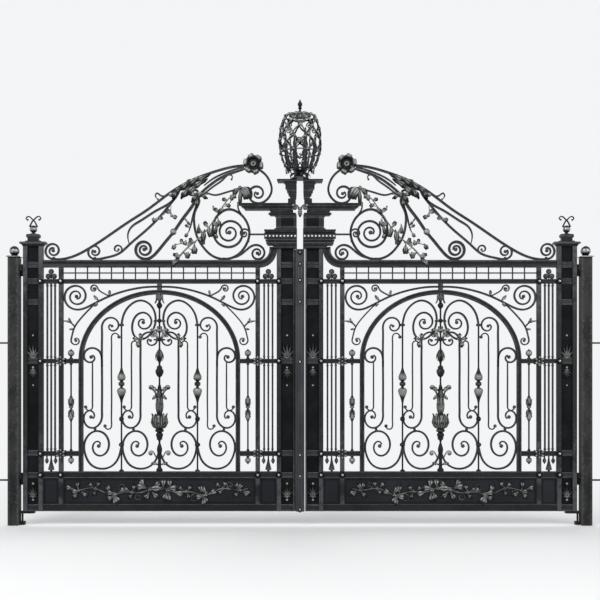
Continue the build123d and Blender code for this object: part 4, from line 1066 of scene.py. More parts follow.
knotted_outline = ((537, 24), (547, 24), (556, 12), (770, 12), (782, 13), (790, 24), (803, 28),
                   (816, 24), (824, 13), (1036, 12), (1046, 22), (1060, 25), (1074, 22), (1084, 11),
                   (1226, 10), (1250, 15), (1290, 30), (1330, 44), (1352, 44), (1366, 32),
                   (1376, 14), (1386, 14), (1394, 27), (1410, 31), (1426, 27), (1434, 14),
                   (1444, 26), (1462, 40), (1486, 40), (1522, 24), (1566, 10), (1985, 9.5))
baluster_outline = ((537, 30), (556, 33), (566, 24), (600, 17), (700, 18), (770, 25), (852, 20),
                    (862, 30), (874, 27), (886, 33), (900, 36), (914, 33), (926, 24), (934, 40), (952, 42),
                    (966, 30), (982, 58), (1014, 72), (1052, 75), (1092, 66), (1104, 40), (1116, 26),
                    (1250, 20), (1390, 15), (1480, 13), (1490, 26), (1500, 30), (1512, 36),
                    (1532, 41), (1552, 37), (1564, 28), (1572, 27), (1584, 26), (1594, 14), (1632, 15),
                    (1660, 28), (1690, 34), (1722, 22), (1756, 12), (1836, 12), (1845, 24),
                    (1862, 24), (1872, 12), (2024, 12), (2034, 24), (2050, 24), (2060, 12),
                    (2164, 12), (2180, 25), (2195, 29), (2210, 25), (2226, 12), (2246, 16),
                    (2266, 24), (2284, 20), (2304, 10))
knotted_across = 38
knotted_height = 1.45
centre_castings = Ironwork()
knotted_bar = smooth_outline(placed(knotted_outline, dado_top, dado_top + knotted_height), 0.007)
for side in (1, -1):
    turned(centre_castings, arch_centre + side * knotted_across * arch_half / drawn_half,
           knotted_bar, 16)
turned(centre_castings, arch_centre,
       smooth_outline(placed(baluster_outline, dado_top, arch_crown - arch_bar), 0.006), 24)
for petal in range(8):
    azimuth = 45 * petal + 22.5
    standing_leaf(centre_castings, arch_centre, azimuth,
                  [(0.972, 0.048), (1.0, 0.07), (1.05, 0.078), (1.094, 0.072), (1.118, 0.084)],
                  0.056, 3)
    standing_leaf(centre_castings, arch_centre, azimuth + 22.5,
                  [(0.966, 0.036), (0.984, 0.062), (1.012, 0.077), (1.034, 0.09)], 0.046, 2)
# the acanthus that rises from the vase
for azimuth, tall, out in ((0, 0.25, 0.052), (180, 0.25, 0.052), (60, 0.2, 0.042),
                           (120, 0.2, 0.042), (240, 0.2, 0.042), (300, 0.2, 0.042),
                           (90, 0.285, 0.03), (270, 0.285, 0.03)):
    standing_leaf(centre_castings, arch_centre, azimuth,
                  [(1.108, 0.02), (1.108 + tall * 0.3, 0.034), (1.108 + tall * 0.65, 0.03),
                   (1.108 + tall * 0.9, out), (1.108 + tall, out + 0.03)], 0.062, 4)
for petal in range(6):
    standing_leaf(centre_castings, arch_centre, 60 * petal,
                  [(1.75, 0.013), (1.722, 0.026), (1.69, 0.037), (1.66, 0.034), (1.64, 0.026)],
                  0.026, 2)
    standing_leaf(centre_castings, arch_centre, 60 * petal + 30,
                  [(2.33, 0.014), (2.3, 0.03), (2.25, 0.034), (2.215, 0.052)], 0.034, 2)
# the pairs of shoots that curl out at its sides, and the leaves at their roots
for side in (1, -1):
    for start, eye, turns, end in (((0.022, 1.3), (0.085, 1.372), -1.1, 0.008),
                                   ((0.02, 0.66), (0.086, 0.716), -1.3, 0.009),
                                   ((0.012, 1.95), (0.07, 1.905), 1.1, 0.009)):
        bent = (start[0] + 0.02, start[1] + (0.03 if turns < 0 else -0.02))
        line = smooth_line([start, bent] + curl((eye[0] - 0.028, eye[1]), eye, turns, end), 0.006)
        line[:, 0] = arch_centre + side * line[:, 0]
        carried(centre_castings, line, round_section(0.007, 1.2), np.linspace(1.1, 0.6, len(line)))
        for face in (-1, 1):
            faced(centre_castings, (arch_centre + side * eye[0], eye[1]), dome(0.014, 0.012),
                  0, face, 14)
    for face in (-1, 1):
        for heading, height, length in ((60, 1.86, 0.1), (20, 1.94, 0.085), (100, 1.92, 0.07),
                                        (35, 1.34, 0.09), (-25, 1.3, 0.075), (30, 0.6, 0.075)):
            cast_leaf(centre_castings, (arch_centre + side * 0.014, height), facing(heading, side),
                      length, length * 0.5, face * 0.004, face, 3, 0.008, 0.004, -side * 30, 0.01)
        for heading, length in ((105, 0.07), (25, 0.075), (-65, 0.08), (165, 0.05)):
            cast_leaf(centre_castings, arch_scrolls.place((19.6, 185), side)[0],
                      facing(heading, side), length, length * 0.6, face * 0.01, face, 2, 0.01,
                      0.004, -side * 25, 0.01)
both_leaves(centre_castings, "centre_castings", cast_finish, "centre_baluster")

side_outline = ((740, 15), (752, 15), (760, 9), (1036, 9), (1048, 14), (1070, 24), (1096, 26),
                (1130, 18), (1164, 10), (1172, 20), (1180, 23), (1188, 20), (1196, 10),
                (1212, 19), (1240, 24), (1262, 21), (1292, 10), (1600, 9), (1608, 15), (1616, 15))
side_ball = 0.033
drop_ball = 0.03
side_castings = Ironwork()
bay_middles = ((inner_jamb + jamb_bar + inner_leg - arch_bar) / 2, (outer_leg_edge + outer_jamb) / 2)
for across in bay_middles:
    turned(side_castings, across,
           smooth_outline(placed(side_outline, lower_rail_top, mid_rail_bottom), 0.005), 18)
    height = mid_rail_top + side_ball + 0.024
    turned(side_castings, across,
           np.vstack([[(mid_rail_top, 0.02), (mid_rail_top + 0.006, 0.02),
                       (mid_rail_top + 0.014, 0.011)],
                      ball(height, side_ball, 0.011, 0.007)[:-1],
                      [(height + side_ball + 0.004, 0.005), (height + side_ball + 0.01, 0.0005)]]), 24)
    height = lower_rail_bottom - drop_ball - 0.012
    turned(side_castings, across,
           np.vstack([[(height - drop_ball - 0.012, 0.0005), (height - drop_ball - 0.006, 0.007)],
                      ball(height, drop_ball, 0.008, 0.01)[1:],
                      [(lower_rail_bottom - 0.004, 0.017), (lower_rail_bottom, 0.017)]]), 24)
    for petal in range(4):
        for height, turn_up in ((1.24, 1), (1.1, -1)):
            standing_leaf(side_castings, across, 90 * petal + 45,
                          [(height - turn_up * 0.055, 0.012), (height - turn_up * 0.03, 0.024),
                           (height, 0.026), (height + turn_up * 0.022, 0.034)], 0.026, 2)
both_leaves(side_castings, "side_castings", cast_finish, "side_balusters")


# The scrolls in the corners over each arch.
# Long bars spring from the collar at the crown, curl up in the corner beside the jamb bar, and
# carry small shoots and a bud.
drawn_spring, drawn_corner = 165, 76.3
spandrel_work = Ironwork()
corner_up = (second_rail_bottom - arch_spring) / drawn_corner
spandrel = Pattern(spandrel_work, arch_centre, arch_spring, drawn_spring, arch_half / drawn_half,
                   corner_up, True)
spandrel.scroll([(0, 238.2), (12, 238), (25, 236.2), (50, 228.8), (68, 220), (83, 215.4)],
                (83, 228.6), 2, 2.4, 24)
spandrel.bar([(50, 228.8), (56.5, 232), (61.3, 236)] + curl((61.8, 237), (65.6, 236.4), -1.1, 1.8),
             fine_bar, [((65.6, 236.4), 18)])
spandrel.scroll([(62, 223.5), (71.5, 214.4), (79, 206.2), (85.4, 196.5), (88, 187)],
                (83.6, 184.4), -1, 1.9, 20, fine_bar)
spandrel.bar([(84.5, 198), (89, 202.5), (95.8, 204)], fine_bar, [((89, 203), 18)])
collar_half = 0.0235
for inset, depth, bevel in ((0, collar_depth, 0.003), (0.012, 0.046, 0.006)):
    block(spandrel_work, arch_centre - collar_half, arch_centre + collar_half,
          arch_crown + inset, second_rail_bottom - inset, depth, bevel=bevel)
both_leaves(spandrel_work, "corner_scrolls", bar_finish, "spandrel_scrolls")
spandrel_sprigs = Ironwork()
for side in (1, -1):
    for face in (-1, 1):
        for across, up, heading, length in ((61, 224.5, 40, 0.07), (62, 223.5, -70, 0.06),
                                            (50, 229, 85, 0.06), (85.4, 196.5, -20, 0.05),
                                            (89, 203, 60, 0.045), (89, 203, 5, 0.05)):
            cast_leaf(spandrel_sprigs, spandrel.place((across, up), side)[0],
                      facing(heading, side), length, length * 0.5, face * 0.01, face, 3, 0.006,
                      0.004, side * 20, 0.004)
both_leaves(spandrel_sprigs, "corner_leaves", cast_finish)


# The top rail and the head of the hinge stile.
# The rail is a heavy moulding that turns up in a quarter circle beside the meeting stile; the
# hinge stile ends in a cap, a block, and a ball between two curling horns.
top_rail_top = top_rail_bottom + 0.073
rail_height = top_rail_top - top_rail_bottom
corner_inside = 0.1
top_profile = ((0.0, 0.023), (0.003, 0.026), (0.012, 0.026), (0.015, 0.021), (0.022, 0.02),
               (0.034, 0.016), (0.046, 0.018), (0.054, 0.024), (0.059, 0.029), (0.07, 0.03),
               (0.073, 0.026))
profile_height, profile_reach = np.array(top_profile).T
bend = from_point((meeting_edge + rail_height + corner_inside, top_rail_top + corner_inside),
                  corner_inside + rail_height / 2, np.linspace(180, 270, 25))
top_rail = Ironwork()
carried(top_rail, np.vstack([[(bend[0, 0], meeting_top)], bend, [(hinge_edge, bend[-1, 1])]]),
        two_faced(profile_height - rail_height / 2, profile_reach,
                  np.clip((profile_reach - 0.015) / 0.015, 0, 1)))
both_leaves(top_rail, "moulded_top_rail", bar_finish, "top_rail")

stile_middle = (hinge_edge + leaf_outer) / 2
head_reach = extent("right_hinge_stile_finial")[1] - stile_middle
head_outline = ((-0.024, 0.765, 0.052), (-0.022, 0.79, 0.056), (-0.014, 0.81, 0.06),
                (-0.007, 0.86, 0.068), (-0.002, 0.93, 0.075), (0, 0.985, 0.082), (0.014, 1, 0.084),
                (0.02, 0.97, 0.07), (0.0215, 0.59, 0.056), (0.03, 0.59, 0.056), (0.031, 0.41, 0.05),
                (0.062, 0.41, 0.05), (0.064, 0.485, 0.05), (0.07, 0.508, 0.054),
                (0.09, 0.508, 0.054), (0.098, 0.455, 0.044))
stile_head = Ironwork()
stacked(stile_head, [(hinge_top + rise, stile_middle - head_reach * share,
                      stile_middle + head_reach * share, deep) for rise, share, deep in head_outline])
both_leaves(stile_head, "stile_cap_and_block", bar_finish, "hinge_stile_finial")
head_ball = Ironwork()
neck_bottom = hinge_top + 0.096
ball_middle = hinge_top + 0.148
turned(head_ball, stile_middle,
       np.vstack([[(neck_bottom, 0.034), (neck_bottom + 0.006, 0.032), (neck_bottom + 0.012, 0.016)],
                  ball(ball_middle, 0.038, 0.013, 0.001)]))
both_leaves(head_ball, "stile_ball", boss_finish)
horns = Ironwork()
horn_line = ((-0.033, 0.03), (-0.024, 0.052), (-0.008, 0.08), (0.004, 0.092), (0.018, 0.106),
             (0.036, 0.122), (0.052, 0.127), (0.068, 0.12), (0.074, 0.108), (0.066, 0.096),
             (0.058, 0.094))
for side in (1, -1):
    line = smooth_line(np.array(horn_line) * (side, 1) + (stile_middle, ball_middle), 0.004)
    carried(horns, line, round_section(0.0085, 1.2), np.linspace(1, 0.7, len(line)), 1, side * 0.004)
    for face in (-1, 1):
        faced(horns, line[-1], dome(0.01, 0.012), side * 0.004, face, 14)
        faced(horns, line[0], dome(0.011, 0.012), side * 0.004, face, 14)
both_leaves(horns, "stile_horns", bar_finish)


# The capital, cornice and pedestal over the meeting stile.
# They are built up of plates and rolled mouldings round a box, with a row of holes through the
# frieze and beads of cast iron under the cornice.
capital_start, frieze_end = extent("right_meeting_capital")[:2]
frieze_bottom, frieze_top = 2.861, 2.923
frieze_depth = 0.03
hole_radius = 0.0105
hole_count = 9
pilaster_half = 0.039
frame_rise = 0.006
frame_left, frame_right, frame_bottom, frame_top = 0.034, 0.239, 2.963, 3.079
recess_left, recess_right, recess_bottom, recess_top = 0.066, 0.186, 2.982, 3.062
bead_height = 3.139


def moulding_steps(bottom, steps):
    """Levels of stepped mouldings from bottom up, by (top, left, right, depth, hollow) in mm.

    A hollow over 0 draws a step's foot in by a quarter circle of that radius; each step's
    arrises are taken off by 1.5 mm."""
    levels = []
    arris = 1.5
    for top, left, right, depth, hollow in steps:
        if hollow:
            for turn in np.linspace(0, math.pi / 2, 6):
                inset = hollow * (1 - math.sin(turn))
                levels.append((bottom + hollow * (1 - math.cos(turn)), left, right - inset,
                               depth - 2 * inset))
        else:
            levels.append((bottom, left, right - arris, depth - 2 * arris))
            levels.append((bottom + arris, left, right, depth))
        levels.append((top - arris, left, right, depth))
        levels.append((top, left, right - arris, depth - 2 * arris))
        bottom = top
    return np.array(levels) / 1000


capital = Ironwork()
stacked(capital, moulding_steps(2762, [
    (2770, 30, 298, 76, 0), (2777, 30, 306, 84, 0), (2793, 30, 270, 66, 0), (2812, 30, 330, 86, 14),
    (2823, 30, 337, 90, 0), (2835, 30, 320, 70, 0), (2850, 30, 345, 96, 10), (2861, 30, 330, 60, 0)]))
stacked(capital, moulding_steps(2923, [
    (2931, 30, 350, 84, 0), (2941, 30, 354, 88, 7), (2950, 30, 358, 92, 0), (2962, 30, 256, 84, 0),
    (3080, 33, 240, 78, 0), (3091, 33, 250, 84, 8), (3102, 33, 300, 64, 0), (3118, 40, 315, 72, 9)]))
# the frieze, in strips over, under and between its holes, with each hole's corners filled
hole_height = (frieze_bottom + frieze_top) / 2
hole_low, hole_high = hole_height - hole_radius, hole_height + hole_radius
hole_pitch = (frieze_end - capital_start) / hole_count
hole_places = [capital_start + hole_pitch * (hole + 0.5) for hole in range(hole_count)]
for low, high in ((frieze_bottom, hole_low), (hole_high, frieze_top)):
    block(capital, capital_start, frieze_end, low, high, frieze_depth, bevel=0.001)
edges = [capital_start] + [across + side * hole_radius for across in hole_places
                           for side in (-1, 1)] + [frieze_end]
for left, right in zip(edges[::2], edges[1::2]):
    block(capital, left, right, hole_low, hole_high, frieze_depth, bevel=0.001)
corner_half = frieze_depth / 2 - 0.0005
for across in hole_places:
    for quarter in range(0, 360, 90):
        arc = from_point((across, hole_height), hole_radius, quarter + np.linspace(90, 0, 5))
        tip = from_point((across, hole_height), hole_radius * math.sqrt(2), quarter + 45)
        ring = np.vstack([arc, tip])
        capital.grid(np.stack([np.insert(ring, 1, deep, 1) for deep in (-corner_half, corner_half)]),
                     0.4)
capital_plates = Ironwork()
for face in (-1, 1):
    for left, right, low, high in ((frame_left, recess_left, frame_bottom, frame_top),
                                   (recess_right, frame_right, frame_bottom, frame_top),
                                   (recess_left, recess_right, frame_bottom, recess_bottom),
                                   (recess_left, recess_right, recess_top, frame_top)):
        block(capital, left, right, low, high, 2 * frame_rise, face * pilaster_half, 0.002)
    block(capital_plates, recess_left, recess_right, recess_bottom, recess_top, 0.002,
          face * pilaster_half, 0.0005)
both_leaves(capital, "stepped_capital", bar_finish, "meeting_capital")
# the recessed plates carry painted shade
both_leaves(capital_plates, "recessed_capital_plates", recess_shade_finish)

cornice = Ironwork()
stacked(cornice, moulding_steps(3118, [
    (3130, 68, 292, 72, 0), (3148, 68, 300, 80, 8), (3160, 74, 552, 88, 0), (3170, 74, 560, 96, 8),
    (3181, 74, 576, 106, 9), (3192, 74, 585, 116, 0), (3202, 74, 600, 126, 9),
    (3210, 74, 606, 132, 0)]))
stacked(cornice, moulding_steps(3210, [
    (3260, 42, 120, 64, 0), (3275, 36, 98, 70, 0), (3290, 36, 105, 76, 9), (3325, 34, 118, 90, 16),
    (3350, 33, 130, 96, 0), (3363, 33, 138, 104, 9), (3412, 33, 146, 84, 0), (3426, 33, 160, 96, 9),
    (3438, 31, 222, 108, 0), (3450, 31, 230, 116, 9)]))
for face in (-1, 1):
    for across in np.arange(0.12, 0.29, 0.016):
        faced(cornice, (across, bead_height), dome(0.006, 0.005), face * 0.038, face, 10)
both_leaves(cornice, "moulded_cornice", bar_finish, "head_cornice")


# The crest, a sweep of scrolls that climbs from the hinge stile to the middle of the gate.
# Heavy drawn bars curl on the top rail and against each other; acanthus clusters hide the
# joints, a leafy vine climbs in front, and an open poppy ends the sweep.
crest_work = Ironwork()
crest_bar = scroll_bar * 1.1
crest_tendril = fine_bar * 1.15
drawn_leaf, drawn_rail = 271.3, 264.8
crest_up = 0.01
crest = Pattern(crest_work, 0, top_rail_top, drawn_rail, (leaf_outer - leaf_inner) / drawn_leaf,
                crest_up, False)
crest.scroll([(54, 359.5), (64, 358.6), (77, 355.8), (90, 351.8), (104.5, 346.4), (117, 340.2),
              (130, 332.1), (152.6, 315.2), (170.5, 303.6), (187.5, 292), (211, 276.5),
              (230, 267.5), (246, 265.9)], (246.8, 274.4), 1.6, 2.4, 24, crest_bar * 1.1)
crest.bar([(119, 339), (124, 328), (134, 319.5), (143.7, 314.3), (160.5, 303.6), (168.5, 298),
           (172, 291), (170.8, 281)], crest_bar, (), (1.0, 0.35))
crest.scroll([(124, 328), (132, 317.9), (143.7, 304.5), (157, 292), (170.5, 280.4), (181, 271.5),
              (196.6, 266.8), (205, 265.9)], (205.2, 273.4), 1.4, 2.2, 22, crest_bar)
crest.bar([(181, 271.5), (178, 275), (180, 279), (184.5, 278.5), (185, 274.5), (181.5, 273.8)],
          crest_tendril, [((181.5, 275.5), 16)], (0.9, 0.6))
crest.bar([(102.6, 328), (108, 318.5), (115.5, 308.5), (121.5, 300), (126.7, 292.5), (133, 285),
           (142, 274), (153, 266)] + curl((154.5, 266.1), (155.7, 275.6), 1.8, 2.4),
          crest_bar * 1.3, [((155.7, 275.6), 26)], (1.1, 0.6), 0.028)
crest.scroll([(117, 340.2), (106, 331), (101, 326), (104.8, 314), (105.8, 302), (103.5, 290),
              (96.5, 277.5), (87, 268.8), (76, 265.9), (64, 269), (54.5, 279), (50.6, 292),
              (53.6, 303.5), (61, 312), (71, 315.6), (81, 311), (86.4, 302), (86.8, 292.5)],
             (70.6, 292.5), -2.1, 2.6, 28, crest_bar * 1.1, (1.0, 0.7))
crest.bar([(119, 339), (110, 333), (102.6, 328)], crest_bar * 1.6, (), (0.8, 0.8), 0.03)
crest.bar([(42, 356), (35, 350.8), (30, 343), (28.4, 334), (32.5, 326), (39, 322)]
          + curl((42.4, 321.6), (42.6, 331.4), 1.4, 2.1), crest_bar, [((42.6, 331.4), 22)])
crest.scroll([(70, 266.4), (63, 268.3), (57.5, 271.6), (53, 275.5), (48.5, 278.8), (43.5, 280),
              (38.4, 278), (35.6, 273.2)], (42.6, 271.8), 1.25, 2.2, 24, crest_bar, (0.6, 0.72))
crest.scroll([(50.4, 290), (51.5, 294)], (55.7, 291.4), -1.3, 1.3, 15, crest_tendril, (0.9, 0.6))
crest.bar([(35.2, 290.6), (43, 290.6), (50.6, 290.6)], crest_tendril, (), (1, 1))
crest.bar([(54.5, 356.4), (59, 354.8), (70, 351.2), (79, 347.2), (86, 342.8), (92.5, 337.8),
           (101, 330)], crest_bar * 1.15, (), (0.7, 1.0))
crest.bar([(56, 358), (68, 354.6), (79, 350.4), (88, 345.6), (96, 339.4)], crest_tendril, (), (0.9, 0.6))
crest.bar([(68.4, 346), (67.6, 348.6), (70, 350.2), (76, 346.4), (86, 338.9), (93.6, 333),
           (101, 327.5)], crest_tendril, [((68.4, 345.6), 14)], (0.6, 0.9))
crest.bar([(101, 331), (93.6, 331.9), (86.5, 330), (78.9, 331), (73.8, 332.6), (67.4, 334.5),
           (60, 337)], crest_tendril, (), (1.0, 0.8))
crest.bar([(62.3, 323), (61.6, 316), (58.6, 310.5), (54.4, 305)], crest_tendril, (), (0.6, 0.9))
crest.bar([(101.8, 325), (105, 316), (107.8, 306), (109.2, 299.4), (111.6, 292.6)], crest_tendril, (),
          (1.0, 0.5))
crest.bar([(130.5, 331.2), (134, 329.3), (139.5, 329.6), (143.2, 331.8), (144.6, 329), (143, 326.4)],
          crest_tendril, [((142.2, 325.8), 12)], (0.8, 0.5), 0.014)
for place in ((76, 266.4), (51.6, 284), (205, 267), (246, 267)):
    crest.collar(place, 22, 20)
both_leaves(crest_work, "crest_scrolls", bar_finish, "crest_scrollwork")

flower_place = crest.place((46.6, 361))[0]
flower_radius = 0.102
flower_turn = 12
petal_wreath = ((0.01, 0.07), (0.3, 0.05), (0.5, 0.06), (0.58, 0.16), (0.64, 0.34), (0.76, 0.46),
                (0.9, 0.42), (1.0, 0.22), (0.98, 0.08), (0.86, 0.0))
flower_heart = ((0.008, 0.012), (0.011, 0.022), (0.019, 0.027), (0.026, 0.022), (0.028, 0.008),
                (0.028, 0))
flower = Ironwork()
for face in (-1, 1):
    faced(flower, flower_place, np.array(petal_wreath) * flower_radius, 0, face, 84, 6, 0.15, 2.4,
          flower_turn)
    faced(flower, flower_place, flower_heart, face * 0.004, face, 24)
    for petal in range(6):
        turn = flower_turn + 60 * petal
        for aside, reach in ((-11, 0.078), (9, 0.083)):
            faced(flower, from_point(flower_place, reach, turn + aside), dome(0.016, 0.014),
                  face * 0.032, face, 14, turn=turn, stretch=0.3)
both_leaves(flower, "crest_poppy", cast_finish, "crest_flower")

sheath_leaves = (((89, 351), 338, 0.19, 0.062, -10), ((92, 346.5), 328, 0.2, 0.06, 8),
                 ((98, 348.6), 334, 0.2, 0.064, -12), ((100, 343), 318, 0.2, 0.06, -6),
                 ((107, 345), 330, 0.19, 0.06, -14), ((109, 339.5), 312, 0.17, 0.055, -10),
                 ((115, 341), 325, 0.17, 0.055, -18), ((121, 336.6), 308, 0.13, 0.05, -16),
                 ((101, 331), 215, 0.1, 0.04, -20), ((100, 332), 318, 0.13, 0.045, -12),
                 ((103, 329.4), 268, 0.13, 0.045, 6), ((101, 334), 15, 0.1, 0.036, -20))
shoot_leaves = (((118, 339.5), 150, 0.11, 0.035, -10), ((96, 349.4), 335, 0.13, 0.032, 12),
                ((60, 354.5), 162, 0.13, 0.03, -14), ((101, 330), 20, 0.1, 0.04, -50),
                ((93, 332), -8, 0.13, 0.05, 0), ((116, 307.5), 232, 0.1, 0.03, 0))
bud_place = (60, 337.2)
bud_leaves = ((bud_place, 190, 0.155, 0.11, 100), (bud_place, 222, 0.13, 0.1, 50),
              (bud_place, -30, 0.1, 0.07, -60), (bud_place, 268, 0.17, 0.055, 6))
crest_castings = Ironwork()
for face in (-1, 1):
    for leaves, deep, lobes, rise, tip_out, dark in ((sheath_leaves, 0.01, 2, 0.018, 0.012, 0.16),
                                                     (shoot_leaves, 0.012, 2, 0.008, 0.004, 0),
                                                     (bud_leaves, 0.008, 1, 0.02, 0.006, 0)):
        for place, heading, size, wide, bend in leaves:
            cast_leaf(crest_castings, crest.place(place)[0], heading, size, wide, face * deep, face,
                      lobes, rise, 0.004, bend, tip_out, dark)
for place, radius in (((129, 330.4), 0.024), ((126.7, 293.2), 0.033), ((100.8, 330), 0.022),
                      ((95.4, 346.6), 0.014), ((61.4, 320.5), 0.016), ((60, 337.4), 0.02),
                      ((93.2, 331.4), 0.013)):
    across, up = crest.place(place)[0]
    turned(crest_castings, across, ball(up, radius, 0.002, 0.002, 12), 20)

vine_line = smooth_line(crest.place([(60, 336), (65, 332), (69.5, 327.7), (78, 317), (85, 306),
                                     (92, 296), (100, 287), (110, 279), (118, 271), (124.4, 262)]))
vine_face = 0.02
vine_stalks = (((104, 282.5), (106, 279), (105.3, 276)), ((96, 291.5), (100, 296), (101, 301)),
               ((111, 278.5), (116, 281), (124, 280)), ((112, 277.5), (108, 273), (111.4, 270)),
               ((87, 303.2), (83, 300), (83.4, 292)), ((80, 314), (82, 309), (81.6, 305)),
               ((92.5, 295.6), (96, 290), (96.4, 286)), ((70, 327), (69, 324), (76, 318)),
               ((127.8, 309), (129, 314), (128.6, 318.6)), ((134, 312), (138, 309), (142.4, 306.4)))
vine_leaves = (
    ((81.6, 306), -96, 0.062, 0.05), ((83.4, 300.5), -85, 0.09, 0.034),
    ((83.3, 291.4), -90, 0.045, 0.034), ((91, 299), -100, 0.1, 0.06), ((95, 296), -80, 0.12, 0.055),
    ((88, 302), 200, 0.07, 0.045), ((92, 297), 60, 0.06, 0.045), ((101, 300.8), -88, 0.085, 0.036),
    ((97, 292), 30, 0.05, 0.036), ((96.4, 287), -90, 0.06, 0.036), ((105.3, 280.5), -90, 0.085, 0.062),
    ((111.4, 273.2), -80, 0.062, 0.05), ((112, 278), 120, 0.06, 0.04), ((113.5, 285), -70, 0.05, 0.045),
    ((108, 280.5), 75, 0.055, 0.04), ((123.6, 281.4), -60, 0.06, 0.045),
    ((119, 280.6), 100, 0.045, 0.035), ((123, 272.5), -100, 0.06, 0.05), ((124.4, 266), -70, 0.07, 0.05),
    ((117, 272), 205, 0.07, 0.045), ((119.5, 268), 20, 0.065, 0.04), ((126, 262.8), 160, 0.055, 0.04),
    ((76.6, 318), -60, 0.07, 0.05), ((82, 311.5), 60, 0.05, 0.04), ((86.6, 318), 250, 0.035, 0.03),
    ((69.4, 329.4), -110, 0.05, 0.036), ((72, 324.5), 10, 0.05, 0.04), ((75, 321), 210, 0.055, 0.04),
    ((66, 331), 255, 0.045, 0.034), ((128.4, 311), 35, 0.055, 0.05), ((128, 309.4), -150, 0.05, 0.045),
    ((142.6, 306), -20, 0.045, 0.045), ((141, 305), 150, 0.04, 0.035),
    ((111.6, 292.6), -60, 0.05, 0.035), ((110, 297), 30, 0.045, 0.03))
carried(crest_castings, vine_line, round_section(0.0075), np.linspace(0.6, 1.2, len(vine_line)),
        through=-vine_face)
for points in vine_stalks:
    carried(crest_castings, smooth_line(crest.place(points), 0.008), round_section(0.0045),
            through=0.002 - vine_face)
for place, heading, size, wide in vine_leaves:
    cast_leaf(crest_castings, crest.place(place)[0], heading, size * 1.15, wide * 1.4,
              0.004 - vine_face, -1, 1, size * 0.2, 0.003, 0, 0.01)
for place, radius in (((68.7, 328.7), 0.014), ((86.6, 318), 0.011), ((82.7, 314.7), 0.012),
                      ((128, 309), 0.017), ((142.4, 305.6), 0.016), ((124, 268), 0.012),
                      ((98, 291), 0.012), ((107, 283), 0.011)):
    faced(crest_castings, crest.place(place)[0], dome(radius, radius * 0.9), -vine_face, -1, 14)
both_leaves(crest_castings, "crest_leaves", cast_finish, "crest_vine")


# What stands on the rails and hangs under them.
# Domed bosses and six-petalled rosettes cover the crossings, small trefoils fill the bays over
# the second rail, and drops hang in the bays under the lower rail.
boss_radius = 0.033
boss_rise = 0.022
rosette_radius = 0.054
second_middle = (second_rail_bottom + second_rail_top) / 2
mid_middle = (mid_rail_bottom + mid_rail_top) / 2
lower_middle = (lower_rail_bottom + lower_rail_top) / 2
dado_middle = (dado_bottom + dado_top) / 2
jamb_middles = (inner_jamb + jamb_bar / 2, outer_jamb + jamb_bar / 2)
stile_bar_middles = (meeting_edge - stile_bar / 2, hinge_edge + stile_bar / 2)
boss_outline = np.vstack([dome(0.024, boss_rise, 9), [(0.026, 0.004), (0.029, 0.007), (0.032, 0.006),
                                                      (boss_radius, 0.0)]])
boss_castings = Ironwork()
for face in (-1, 1):
    for height in (second_middle, mid_middle, lower_middle, dado_middle):
        for across in stile_bar_middles:
            faced(boss_castings, (across, height), boss_outline, face * stile_depth / 2, face, 28)
    for across in jamb_middles:
        for height in (second_middle, dado_middle):
            faced(boss_castings, (across, height), boss_outline, face * rail_depth / 2, face, 28)
both_leaves(boss_castings, "domed_bosses", boss_finish, "bosses")

rosettes = Ironwork()
rosette_outline = ((0.001, 0.003), (0.012, 0.003), (0.022, 0.009), (0.034, 0.015), (0.044, 0.015),
                   (0.051, 0.01), (rosette_radius, 0.004), (rosette_radius, 0))
for face in (-1, 1):
    base = face * rail_depth / 2
    for across in jamb_middles:
        for height in (mid_middle, lower_middle):
            place = (across, height)
            faced(rosettes, place, rosette_outline, base, face, 72, 6, 0.34, 0.9, 30)
            faced(rosettes, place, dome(0.011, 0.011), base, face, 14)
            for turn in range(30, 390, 60):
                faced(rosettes, from_point(place, 0.036, turn), dome(0.013, 0.009),
                      base + face * 0.01, face, 12, turn=turn, stretch=0.3)
both_leaves(rosettes, "crossing_rosettes", cast_finish)

trefoils = Ironwork()
trefoil_height = second_rail_top + 0.042
lobe_half = 0.027
for left, right in narrow_bays:
    across = (left + right) / 2
    heart = (across, trefoil_height)
    for face in (-1, 1):
        for heading in (90, 205, -25):
            faced(trefoils, from_point(heart, 0.026, heading), dome(lobe_half, 0.013), 0, face, 28,
                  turn=heading, stretch=0.28)
        faced(trefoils, heart, dome(0.012, 0.017), 0, face, 14)
    block(trefoils, across - 0.006, across + 0.006, second_rail_top, trefoil_height + 0.002, 0.012)
both_leaves(trefoils, "rail_trefoils", bar_finish)

drops = Ironwork()
trumpet = [(dado_top + rise, radius) for rise, radius in (
    (0, 0.012), (0.014, 0.012), (0.0145, 0.029), (0.018, 0.0315), (0.033, 0.0285), (0.06, 0.0215),
    (0.078, 0.0165), (0.095, 0.0125), (0.13, 0.008))] + [(lower_rail_bottom, 0.0075)]
pendant = smooth_outline([(lower_rail_bottom - hang, radius) for hang, radius in (
    (0.082, 0.001), (0.07, 0.008), (0.052, 0.0185), (0.036, 0.0165), (0.018, 0.0075),
    (0.008, 0.008), (0, 0.0125))], 0.004)
for left, right in narrow_bays:
    turned(drops, (left + right) / 2, trumpet, 20)
    for share in (0.22, 0.78):
        turned(drops, left + (right - left) * share, pendant, 18)
both_leaves(drops, "bay_drops", bar_finish)


